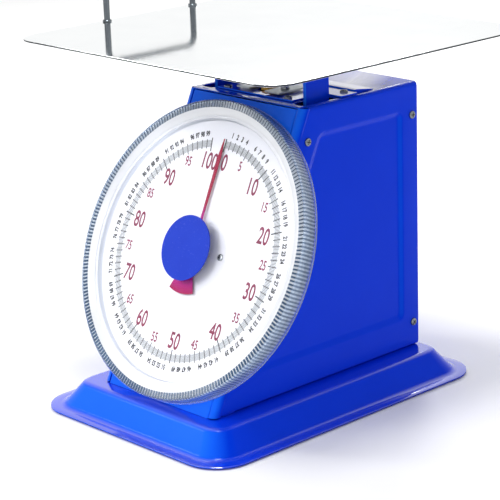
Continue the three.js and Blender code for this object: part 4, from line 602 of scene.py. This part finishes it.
def mirrored(bm):
    bmesh.ops.remove_doubles(bm, verts=bm.verts, dist=closeness["merge"])
    bmesh.ops.mirror(bm, geom=everything(bm), matrix=Matrix.Identity(4), axis="X",
                     merge_dist=closeness["merge"])
    bmesh.ops.remove_doubles(bm, verts=bm.verts, dist=closeness["merge"])
    widest = max(bm.faces, key=lambda face: face.calc_area())
    turnOut(bm, widest, widest.calc_center_median() - Vector((0, 0, casing["middleHeight"])))


def makeShell():
    bm = bmesh.new()
    half, edge = casing["width"] / 2, casing["edge"]
    top, low, back, front = casing["top"], casing["bottom"], casing["back"], casing["frontFoot"]
    topSheet(bm)

    # Bends down to the side and back in under it
    inner = half - edge
    upper = [(inner, y, top) for y in (casing["frontTop"], back)]
    lower = [(half, y, low + edge) for y in (front, back)]
    for ends, level in ((upper, top - edge), (lower, low + edge)):
        spunStrip(bm, ends, (inner, 0, level), pi / 2, steps=8)
    bm.faces.new([bm.verts.new((x, y, low)) for x, y in (
        (shell["foot"], front), (inner, front), (inner, back), (shell["foot"], back))])

    # Side wall round the pressed panel
    wall = loopOf(bm, [(half, frontAt(low + edge), low + edge), (half, back, low + edge),
                       (half, back, top - edge), (half, frontAt(top - edge), top - edge)])
    loops = []
    for row in range(press["rows"] + 1):
        share = row / press["rows"]
        sunk = press["depth"] * (3 - 2 * share) * share ** 2        # eased at both ends of the slope
        grow = 1 - (press["run"] + 1) * share
        loops.append(loopOf(bm, pressPoints(half - sunk, grow), press["corner"] + grow, segments=8))
    bmesh.ops.triangle_fill(bm, edges=wall + loops[0], use_beauty=True, normal=(1, 0, 0))
    bridge(bm, loops)
    bmesh.ops.contextual_create(bm, geom=loops[-1])

    # Side, foot and lower bend stop where the front bend begins
    def belowTop():
        return [face for face in bm.faces if face.calc_center_median().z < top - closeness["merge"]]

    geometry = list({item for face in belowTop() for item in [face, *face.edges, *face.verts]})
    seat = dialOrigin - outOfDial * shell["bend"]
    bmesh.ops.bisect_plane(bm, geom=geometry, dist=closeness["cut"], plane_co=seat, plane_no=outOfDial)
    ahead = [face for face in belowTop()
             if (face.calc_center_median() - seat).dot(outOfDial) > closeness["fine"]]
    bmesh.ops.delete(bm, geom=ahead, context="FACES")
    mirrored(bm)
    paintedSheet(bm, "casingShell", ["casing_shell"])


# The side sheets run on round the front bends to the seams
def makeFrontBends():
    bm = bmesh.new()
    half, bend, reach = casing["width"] / 2, shell["bend"], casing["overrun"]
    seam, lip = half - bend, half - bend - shell["lip"]
    spunStrip(bm, [(half, v, -bend) for v in (-reach, reach)], (seam, 0, -bend), -pi / 2, steps=10)
    bm.faces.new([bm.verts.new((u, v, 0)) for u, v in (
        (seam, -reach), (seam, reach), (lip, reach), (lip, -reach))])
    bmesh.ops.transform(bm, matrix=slopePlace, verts=bm.verts)
    bmesh.ops.remove_doubles(bm, verts=bm.verts, dist=closeness["merge"])
    keepBetween(bm, casing["bottom"] + shell["endGap"], casing["top"] - shell["endGap"])
    mirrored(bm)
    paintedSheet(bm, "casingFrontBends", [])


def makeStep():
    bm = bmesh.new()
    low, high = casing["top"] - step["sunk"], casing["top"] + step["height"]
    near, far = step["front"], step["front"] + step["land"]
    face = bm.faces.new([bm.verts.new((-step["half"], y, z)) for y, z in (
        (near, low), (near, high), (far, high), (far + step["run"], low))])
    pull(bm, [face], (step["half"] * 2, 0, 0))
    outward(bm)
    above = [edge for edge in cornersOver(bm, angle=5)
             if any(vert.co.z > casing["top"] for vert in edge.verts)]
    roundEdges(bm, above, step["edge"], segments=4)
    finishPiece(bm, "casingTopStep", "stand", [blue], [], sharp=25)


def makeFrontPanel():
    bm = bmesh.new()
    half, reach, sheet = casing["width"] / 2, casing["overrun"], casing["sheet"]
    fold = half - shell["bend"] - shell["lip"] - panel["seam"]
    tucked = half - sheet - panel["seam"]
    profile = [(0, 0), (fold, 0), (fold, -panel["fold"]), (tucked, -panel["flangeTop"]),
               (tucked, -panel["flangeFoot"])]
    foldedStrip(bm, [(across, -reach, out) for across, out in profile], (0, reach * 2, 0))
    roundEdges(bm, [edge for edge in bm.edges if edge.is_manifold], panel["bend"], segments=4)
    bmesh.ops.transform(bm, matrix=slopePlace, verts=bm.verts)
    keepBetween(bm, casing["bottom"] + panel["footGap"], casing["top"] - sheet - panel["seam"])
    mirrored(bm)
    paintedSheet(bm, "frontPanel", ["front_panel"])


def makeBackCover():
    bm = bmesh.new()
    gap = casing["sheet"] + backSheet["seam"]
    half, back = casing["width"] / 2 - gap, casing["back"] - backSheet["inset"]
    low, high = casing["bottom"] + gap, casing["top"] - gap
    face = outlineFace(bm, [(-half, back, low), (-half, back, high), (half, back, high), (half, back, low)],
                       backSheet["corner"])
    pull(bm, [face], (0, -backSheet["flange"], 0))
    inner = min(bm.faces, key=lambda item: item.calc_center_median().y)
    bmesh.ops.delete(bm, geom=[inner], context="FACES")
    rear = max(bm.faces, key=lambda item: item.calc_center_median().y)
    turnOut(bm, rear, (0, 1, 0))
    roundEdges(bm, list(rear.edges), backSheet["bend"], segments=4)
    paintedSheet(bm, "backCover", ["back_cover"])


def makeSideScrews():
    spots = [(frontAt(z) + sideScrews["fromFront"], z) for z in sideScrews["frontHeights"]]
    spots += [(sideScrews["back"], z) for z in sideScrews["backHeights"]]
    for side, word in ((-1, "Left"), (1, "Right")):
        seats = [(side * (casing["width"] / 2 - sideScrews["sunk"]), y, z) for y, z in spots]
        screwPiece("sideScrews" + word, "stand", sideScrews["size"], seats, (side, 0, 0))


makeShell()
makeFrontBends()
makeStep()
makeFrontPanel()
makeBackCover()
makeSideScrews()
print("casing made")


# Raised plate round the posts, clamp plate, knob and their screws
topPlate = {
    "points": [(-50, -22), (50, -22), (50, 18.5), (73, 18.5), (73, 40), (-73, 40), (-73, 18.5), (-50, 18.5)],
    "bottom": 288.1, "sheet": 1.5, "window": 11.5, "corner": 1.5, "edge": 0.35,
}
clamp = {
    "half": (29, 18), "bottom": 291.1, "thickness": 1.6, "notch": 10.25, "corner": 3, "edge": 0.3,
    "boss": 4.5, "bossLow": 289.9, "bossHigh": 291.5, "bossAcross": 19,
}
knob = {
    "radius": 9.3, "low": 284.6, "high": 292.6, "chamfer": 1, "bore": 4.2, "boreChamfer": 0.6,
    "knurls": 24, "knurlDepth": 0.5, "knurlFrom": 9.1,
}
topScrews = {
    "size": (3.8, 1.8), "seat": 289.9, "places": {"front": (40, -17), "back": (62, 33)},
    "clampSize": (4.0, 2.6), "clampSeat": 293.0,
}


def makeTopPlate():
    bm = bmesh.new()
    level = topPlate["bottom"]
    rim = loopOf(bm, [(x, y, level) for x, y in topPlate["points"]], topPlate["corner"], segments=4)
    hole = bmesh.ops.create_circle(bm, cap_ends=False, segments=48, radius=topPlate["window"],
                                   matrix=Matrix.Translation((0, 0, level)))["verts"]
    edges = list({edge for vert in hole for edge in vert.link_edges})
    bmesh.ops.triangle_fill(bm, edges=rim + edges, use_beauty=True, normal=(0, 0, 1))
    bmesh.ops.recalc_face_normals(bm, faces=bm.faces)
    pull(bm, list(bm.faces), (0, 0, topPlate["sheet"]))
    outward(bm)
    roundEdges(bm, cornersOver(bm), topPlate["edge"], segments=2)
    finishPiece(bm, "topPlate", "stand", [blue], ["top_plate"])


def makeClampPlate():
    bm = bmesh.new()
    (x, y), notch = clamp["half"], clamp["notch"]
    arc = [(notch * cos(radians(turn)), notch * sin(radians(turn))) for turn in range(180, -1, -15)]
    points = [(-x, -y), (-notch, -y), *arc, (notch, -y), (x, -y), (x, y), (-x, y)]
    plate(bm, [(across, along, clamp["bottom"]) for across, along in points], 0, clamp["thickness"])
    upright = [edge for edge in bm.edges
               if abs(edge.verts[0].co.z - edge.verts[1].co.z) > clamp["thickness"] / 2]
    corners = [edge for edge in upright if abs(edge.verts[0].co.x) > x - closeness["merge"]]
    roundEdges(bm, corners, clamp["corner"], segments=5)
    roundEdges(bm, cornersOver(bm), clamp["edge"], segments=2)
    low, high = clamp["bossLow"], clamp["bossHigh"]
    for side in (-1, 1):
        bmesh.ops.create_cone(bm, cap_ends=True, segments=24, radius1=clamp["boss"], radius2=clamp["boss"],
                              depth=high - low,
                              matrix=Matrix.Translation((side * clamp["bossAcross"], 0, (low + high) / 2)))
    finishPiece(bm, "clampPlate", "stand", [zinc], ["clamp_plate"])


def makeKnob():
    bm = bmesh.new()
    radius, low, high, chamfer = knob["radius"], knob["low"], knob["high"], knob["chamfer"]
    bore, relief, knurls = knob["bore"], knob["boreChamfer"], knob["knurls"]
    profile = [(bore, low), (radius - chamfer, low), (radius, low + chamfer), (radius, high - chamfer),
               (radius - chamfer, high), (bore + relief, high), (bore, high - relief), (bore, low)]
    revolve(bm, profile, knurls * 4)
    for vert in bm.verts:
        flat = vert.co.xy
        if flat.length > knob["knurlFrom"]:
            wave = cos(flat.angle_signed(Vector((1, 0))) * knurls)
            vert.co.xy = flat * (1 - knob["knurlDepth"] * (1 - wave) / 2 / radius)
    finishPiece(bm, "zeroKnob", "zero_knob", [brass], ["zero_knob"])


def makeTopScrews():
    for side, word in ((-1, "left"), (1, "right")):
        for row, (x, y) in topScrews["places"].items():
            name = "topPlateScrew" + row.capitalize() + word.capitalize()
            screwPiece(name, "stand", topScrews["size"], [(side * x, y, topScrews["seat"])], (0, 0, 1),
                       [f"top_plate_screw_{row}_{word}"])
        seat = (side * clamp["bossAcross"], 0, topScrews["clampSeat"])
        screwPiece("clampScrew" + word.capitalize(), "stand", topScrews["clampSize"], [seat], (0, 0, 1),
                   [f"clamp_screw_{word}"])


makeTopPlate()
makeClampPlate()
makeKnob()
makeTopScrews()
print("top plate and zero setting made")


# Load yoke, pan support, pan and rail
yoke = {"half": 61, "strip": 4, "width": 30, "bottom": 56, "top": 337.8, "lip": 39, "bend": 7, "edge": 0.6}
support = {"size": (200, 180), "low": 330.1, "high": 340.1, "bend": 5, "corner": 6, "sheet": 2}
pan = {"size": (348, 326), "low": 340.4, "thickness": 2, "corner": 25, "edge": 0.7}
rail = {"x": -167, "half": 55, "radius": 3, "bend": 10, "top": 382.4, "tail": 332.4}
collar = {"radius": 4.4, "low": 342.7, "high": 344.2, "bore": 3.1, "edge": 0.4}


def makeYoke():
    bm = bmesh.new()
    half, lip, width = yoke["half"], yoke["lip"], yoke["width"]
    low, high = yoke["bottom"], yoke["top"]
    foldedStrip(bm, [(x, -width / 2, z) for x, z in (
        (-lip, high), (-half, high), (-half, low), (half, low), (half, high), (lip, high))], (0, width, 0))
    roundEdges(bm, cornersOver(bm), yoke["bend"], segments=6)
    turnOut(bm, min(bm.faces, key=lambda face: face.calc_center_median().z), (0, 0, -1))
    made = paintedSheet(bm, "loadYoke", ["load_yoke"], "platform", yoke["strip"])
    soft = made.modifiers.new("softEdges", "BEVEL")
    soft.width = yoke["edge"] * mm
    soft.segments = 2
    soft.limit_method = "ANGLE"
    soft.angle_limit = radians(50)
    weighNormals(made)


def makeSupport():
    bm = bmesh.new()
    face = outlineFace(bm, rectangle(*support["size"], support["high"]), support["corner"])
    pull(bm, [face], (0, 0, support["low"] - support["high"]))
    floor = min(bm.faces, key=lambda item: item.calc_center_median().z)
    bmesh.ops.delete(bm, geom=[floor], context="FACES")
    top = max(bm.faces, key=lambda item: item.calc_area())
    turnOut(bm, top, (0, 0, 1))
    roundEdges(bm, list(top.edges), support["bend"], segments=5)
    made = finishPiece(bm, "panSupport", "platform", [bare], ["pan_support"], sharp=25)
    thicken(made, support["sheet"])


def makePan():
    bm = bmesh.new()
    plate(bm, rectangle(*pan["size"], pan["low"]), pan["corner"], pan["thickness"], segments=14)
    roundEdges(bm, cornersOver(bm), pan["edge"])
    for face in bm.faces:
        face.material_index = 0 if abs(face.normal.z) > 0.5 else 1      # sides are as the shears left them, and painted dark in shade
    finishPiece(bm, "weighingPan", "platform", [steel, panEdgePaintedShade], ["weighing_pan"],
                sharp=40)


def makeRail():
    bm = bmesh.new()
    x, half, bend = rail["x"], rail["half"], rail["bend"]
    corner = rail["top"] - bend
    bmesh.ops.create_circle(bm, cap_ends=True, segments=24, radius=rail["radius"],
                            matrix=Matrix.Translation((x, -half, rail["tail"])))
    edges = list(bm.edges)
    for length, y in (((0, 0, corner - rail["tail"]), bend - half), ((0, (half - bend) * 2, 0), half - bend)):
        edges = drawOut(bm, edges, length)
        spun = bmesh.ops.spin(bm, geom=edges, cent=(x, y, corner), axis=(1, 0, 0), dvec=(0, 0, 0),
                              angle=-pi / 2, steps=10, use_duplicate=False)["geom_last"]
        edges = only(spun, bmesh.types.BMEdge)
    edges = drawOut(bm, edges, (0, 0, rail["tail"] - corner))
    bmesh.ops.contextual_create(bm, geom=edges)
    outward(bm)
    finishPiece(bm, "panRail", "platform", [chromePaintedReflections], ["pan_rail"], sharp=40)


def makeCollars():
    radius, low, high = collar["radius"], collar["low"], collar["high"]
    bore, edge = collar["bore"], collar["edge"]
    for side, word in ((-1, "front"), (1, "back")):
        bm = bmesh.new()
        revolve(bm, [(bore, low), (radius, low), (radius, high - edge), (radius - edge, high), (bore, high),
                     (bore, low)], steps=40)
        bmesh.ops.translate(bm, vec=(rail["x"], side * rail["half"], 0), verts=bm.verts)
        finishPiece(bm, "railCollar" + word.capitalize(), "platform", [chromePaintedReflections], ["rail_collar_" + word])


makeYoke()
makeSupport()
makePan()
makeRail()
makeCollars()
print("yoke, pan and rail made")


# Dial: dish, face, print, needle, hub, cover and disc, out along the dial's own axis
dish = {"radius": 136, "low": 0.3, "sheet": 1.5, "rim": 5, "shelf": 116, "shelfHigh": 5.5}
dial = {"radius": 122, "low": 5.8, "high": 6.6, "edge": 0.2, "hole": 7, "steps": 144,
        "screw": (3.2, 1.6), "screwAcross": 35, "screwSeat": 6.9}
scale = {
    "full": 100, "sweep": 350, "parts": 5,      # kilograms, degrees, strokes to a kilogram
    "inkRise": 0.05,
    "fine": (97.2, 103.8, 0.55), "kilo": (96, 104.6, 1.0),       # each stroke's inner and outer end and width
    "five": (94.6, 105.4, 0.95), "ten": (93.2, 105.8, 1.2),
}
numerals = {        # weight, which swells the strokes, is a share of the height
    "ten": {"radius": 84.5, "height": 15, "narrow": 0.66, "weight": 0.026},
    "five": {"radius": 88.5, "height": 8.8, "narrow": 0.68, "weight": 0.028},
    "kilo": {"radius": 110.2, "height": 4.5, "narrow": 0.72, "weight": 0.075},
    "shift": {0: 5.5, 100: 0.5},                # keeps the first and the last apart
    "capShare": 0.7, "flatten": 0.1,
}
inkLevel = dial["high"] + scale["inkRise"]


def dialPoint(value, radius):
    turn = radians(scale["sweep"] * value / scale["full"])
    return radius * sin(turn), radius * cos(turn), turn


def makeDish():
    bm = bmesh.new()
    low, floor, high = dish["low"], dish["low"] + dish["sheet"], dish["low"] + dish["rim"]
    hole, rim, shelf, shelfHigh = dial["hole"], dish["radius"], dish["shelf"], dish["shelfHigh"]
    inner, ledge = rim - dish["sheet"], shelf + dish["sheet"]
    profile = [(hole, low), (rim, low), (rim, high), (inner, high), (inner, floor), (ledge, floor),
               (ledge, shelfHigh), (shelf, shelfHigh), (shelf, floor), (hole, floor), (hole, low)]
    revolve(bm, profile, dial["steps"])
    finishPiece(bm, "dialDish", "stand", [dishWhite], ["dial_dish"], dialPlace)


def makeFace():
    bm = bmesh.new()
    hole, rim, low, high, edge = dial["hole"], dial["radius"], dial["low"], dial["high"], dial["edge"]
    profile = [(hole, low), (rim, low), (rim, high - edge), (rim - edge, high), (hole, high), (hole, low)]
    revolve(bm, profile, dial["steps"])
    finishPiece(bm, "dialFace", "stand", [dialWhite], ["dial_face"], dialPlace)
    for side, word in ((-1, "left"), (1, "right")):
        screwPiece("dialScrew" + word.capitalize(), "stand", dial["screw"],
                   [(side * dial["screwAcross"], 0, dial["screwSeat"])], (0, 0, 1), [f"dial_screw_{word}"],
                   dialPlace, zinc)


def makeTicks():
    strokes = {"fine": [], "kilo": [], "five": [], "ten": []}
    for stroke in range(scale["full"] * scale["parts"] + 1):
        kilos, rest = divmod(stroke, scale["parts"])
        kind = "fine" if rest else "ten" if kilos % 10 == 0 else "five" if kilos % 5 == 0 else "kilo"
        strokes[kind].append(stroke / scale["parts"])
    for kind, values in strokes.items():
        bm = bmesh.new()
        near, far, width = scale[kind]
        for value in values:
            x, y, turn = dialPoint(value, (near + far) / 2)
            place = Matrix.Translation((x, y, inkLevel)) @ Matrix.Rotation(-turn, 4, "Z")
            bmesh.ops.create_grid(bm, x_segments=1, y_segments=1, size=0.5,
                                  matrix=place @ Matrix.Diagonal((width, far - near, 1, 1)))
        ink = greenInk if kind == "fine" else blackInk
        finishPiece(bm, kind + "Ticks", "stand", [ink], [], dialPlace)


def textMesh(text, height, narrow, weight):
    curve = bpy.data.curves.new("numeral", "FONT")
    curve.body = text
    curve.size = height / numerals["capShare"]
    curve.align_x = "CENTER"
    curve.bevel_depth = weight * height
    curve.bevel_resolution = 0
    made = addObject("numeral", curve)
    mesh = bakedMesh(made)
    bpy.data.objects.remove(made)
    squeezed = Matrix.Diagonal((narrow, 1, numerals["flatten"], 1))
    mesh.transform(squeezed @ Matrix.Translation((0, -height / 2, 0)))
    return mesh


def makeNumerals():
    rows = {
        "ten": (crimsonInk, range(0, 101, 10)),
        "five": (crimsonInk, range(5, 100, 10)),
        "kilo": (blackInk, [value for value in range(1, 100) if value % 5]),
    }
    for kind, (ink, values) in rows.items():
        bm = bmesh.new()
        row = numerals[kind]
        for value in values:
            x, y, turn = dialPoint(value, row["radius"])
            place = Matrix.Translation((x + numerals["shift"].get(value, 0), y, inkLevel))
            if kind == "kilo":
                place = place @ Matrix.Rotation(-turn, 4, "Z")
            addCopy(bm, textMesh(str(value), row["height"], row["narrow"], row["weight"]), place)
        finishPiece(bm, kind + "Numerals", "stand", [ink], [], dialPlace)


needle = {
    "low": 8.8, "high": 9.6, "edge": 0.15,
    "blade": ((1.6, 0), (1.4, 35.2), (2.2, 88), (0.35, 105.5)),         # half width, and how far out
    "tail": 41.5, "tailHalf": 22.5,     # the fan's length, and degrees to each side
    "boss": 7, "bore": 3.9,
}
hub = {
    "bore": 2.6,
    "washer": ((6.7, 7.4), (6.7, 8.5)), "sleeve": ((3.8, 8.5), (3.8, 9.9)),     # radius and height
    "cap": ((5.6, 9.9), (5.6, 11.2), (5.1, 11.7)),
}


def makeNeedle():
    bm = bmesh.new()
    low, high, bore, tail = needle["low"], needle["high"], needle["bore"], needle["tail"]
    left = [(-half, out, low) for half, out in needle["blade"]]
    right = [(half, out, low) for half, out in reversed(needle["blade"])]
    plate(bm, left + right, 0, high - low, needle["edge"])
    fan = bmesh.new()
    turns = [radians(needle["tailHalf"] * share / 8) for share in range(-8, 9)]
    sector = [(0, 0, low), *[(tail * sin(turn), -tail * cos(turn), low) for turn in turns]]
    plate(fan, sector, 0, high - low, needle["edge"])
    boss = bmesh.new()
    revolve(boss, [(bore, low), (needle["boss"], low), (needle["boss"], high), (bore, high), (bore, low)],
            steps=48)
    for extra in (fan, boss):
        bm.from_mesh(meshOf(extra, "needlePart"))
    finishPiece(bm, "needle", "pointer", [red], ["needle"], dialPlace)


def makeHub():
    bm = bmesh.new()
    bore, low, high = hub["bore"], hub["washer"][0][1], hub["cap"][-1][1]
    revolve(bm, [(bore, low), *hub["washer"], *hub["sleeve"], *hub["cap"], (bore, high), (bore, low)],
            steps=48)
    finishPiece(bm, "pointerHub", "pointer", [brass], ["pointer_hub"], dialPlace)


# Each stretch of the cover's wall is a row of radii and heights, from the window out and back inside
cover = {
    "window": 123, "windowHigh": 13.4, "dome": 5, "wall": 2.0,
    "bead": ((123.6, 13.9), (124.5, 14.1), (125.4, 13.7), (126, 12.7)),
    "shoulder": (132.8, 15.7),
    "fluted": ((133.4, 15.9), (138.9, 16.2)), "flutedTo": 139,
    "crest": ((139.2, 16.6), (139.9, 16.3)),
    "skirt": ((140.4, 15.2), (140.5, 2.2)),
    "rim": ((141.4, 1.9), (141.4, 0.6)),
    "inside": ((138.6, 0.6), (138.6, 13.4), (137.2, 14.2)), "underFlutes": (133.2, 13.7),
    "flutes": 250, "fluteDepth": 0.7,
}


def makeCover():
    bm = bmesh.new()
    window, high, wall = cover["window"], cover["windowHigh"], cover["wall"]
    pitch = pi / cover["flutes"]        # half a flute
    dome = [(window * share / 6, high + cover["dome"] * (1 - (share / 6) ** 2)) for share in range(7)]
    lining = [(radius, height - wall) for radius, height in reversed(dome)]
    revolve(bm, [*dome, *cover["bead"], cover["shoulder"], *cover["fluted"], *cover["crest"], *cover["skirt"],
                 *cover["rim"], *cover["inside"], cover["underFlutes"], *lining], cover["flutes"] * 2)
    lowered = {*cover["fluted"], cover["underFlutes"]}
    for vert in bm.verts:
        spot = (round(vert.co.xy.length, 2), round(vert.co.z, 2))
        if spot not in lowered and spot not in cover["skirt"]:
            continue
        if round(Vector((1, 0)).angle_signed(vert.co.xy) / pitch) % 2 == 0:
            continue
        if spot in lowered:
            vert.co.z -= cover["fluteDepth"]
        else:
            vert.co.xy *= 1 - cover["fluteDepth"] / 2 / spot[0]
    for face in bm.faces:
        centre = face.calc_center_median().xy
        turn = int((Vector((1, 0)).angle_signed(centre) + pi) / pitch)
        # Which material reaches how far out: window, shoulder, the flutes' two by turns, then the skirt
        zones = ((0, cover["bead"][-1][0]), (4, cover["shoulder"][0]), (1 + turn % 2, cover["flutedTo"]),
                 (3, cover["rim"][0][0]))
        face.material_index = next(index for index, reach in zones if centre.length < reach)
    finishPiece(bm, "dialCover", "stand", [windowClear, fluteCrestPaintedHighlight, fluteValleyPaintedShade, skirtClear, shoulderPaintedHighlight],
                ["dial_cover"], dialPlace, sharp=20)


disc = {"gap": 0.3, "profile": ((30.5, 0), (30.5, 0.7), (30.3, 1.0), (29.9, 1.2))}


def makeDisc():
    bm = bmesh.new()
    low = cover["windowHigh"] + cover["dome"] + disc["gap"]
    profile = [(0, 0), *disc["profile"], (0, disc["profile"][-1][1])]
    revolve(bm, [(radius, low + height) for radius, height in profile], steps=96)
    finishPiece(bm, "coverDisc", "stand", [blueDisc], ["cover_disc"], dialPlace)


makeDish()
makeFace()
makeTicks()
makeNumerals()
makeNeedle()
makeHub()
makeCover()
makeDisc()
print("dial made")


# Finishes of the CAD nodes that stay: the works inside the casing
works = {
    "zincPlated": (zinc, ["movement_front_plate", "movement_rear_plate", "top_bridge"]),
    "brassParts": (brass, ["front_shaft_bush", "rear_shaft_bush", "rack_guide", "rack", "pinion"]),
    "springs": (wireSteel, ["main_spring_left", "main_spring_right"]),
    "rubberParts": (rubber, ["overload_stop"]),
}


def finishNodes():
    finishOf = {name: material for material, names in works.values() for name in names}
    for name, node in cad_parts.items():
        for nodeSlot in node.material_slots:
            nodeSlot.material = finishOf.get(name, bare)


finishNodes()
print("inner works finished")


# Floor, lamps and the white surroundings
studio = {"floor": 6.0, "surroundings": 0.62, "aim": (0, 0, 0.18)}
lamps = {
    "keyLamp": {"place": (-0.4, -2.3, 1.6), "size": 1.3, "power": 19},
    "leftLamp": {"place": (-1.68, -1.18, 1.6), "size": 0.6, "power": 11},
    "backLamp": {"place": (-1.3, 1.5, 1.3), "size": 0.6, "power": 18},
    "topLamp": {"place": (0.1, -0.3, 2.6), "size": 0.6, "power": 20},
}


def makeFloor():
    bm = bmesh.new()
    bmesh.ops.create_grid(bm, x_segments=1, y_segments=1, size=studio["floor"])
    floor = addObject("floor", meshOf(bm, "floor"))
    # White backdrop paper: matt, very slightly clouded
    paper = finish("whitePaperFloor", ("#f7f7f7", "#fbfbfb"), (80, 2, even), (0.9, 0.9), None, {"IOR": 1.5})
    floor.data.materials.append(paper)


def makeLamps():
    for name, lamp in lamps.items():
        data = bpy.data.lights.new(name, "AREA")
        data.shape = "DISK"
        data.size = lamp["size"]
        data.energy = lamp["power"]
        place = Vector(lamp["place"])
        aimed = (Vector(studio["aim"]) - place).to_track_quat("-Z", "Y").to_matrix().to_4x4()
        addObject(name, data).matrix_world = Matrix.Translation(place) @ aimed


def makeSurroundings():
    # Seen directly, mirrored or through the cover they are white, and they light the scale less than that
    world = bpy.data.worlds.new("paleStudio")
    scene.world = world
    world.use_nodes = True
    tree = world.node_tree
    tree.nodes.clear()
    rays = addNode(tree, "ShaderNodeLightPath").outputs
    seen = rays["Is Camera Ray"]
    for ray in ("Is Glossy Ray", "Is Transmission Ray"):
        seen = addNode(tree, "ShaderNodeMath", {0: seen, 1: rays[ray]}, operation="MAXIMUM").outputs[0]
    strength = addNode(tree, "ShaderNodeMapRange", {
        "Value": seen, "To Min": studio["surroundings"], "To Max": 1.0})
    light = addNode(tree, "ShaderNodeBackground", {"Color": (1, 1, 1, 1), "Strength": strength.outputs[0]})
    addNode(tree, "ShaderNodeOutputWorld", {"Surface": light.outputs[0]})


makeFloor()
makeLamps()
makeSurroundings()
scene.view_settings.view_transform = "Standard"
print("studio made")
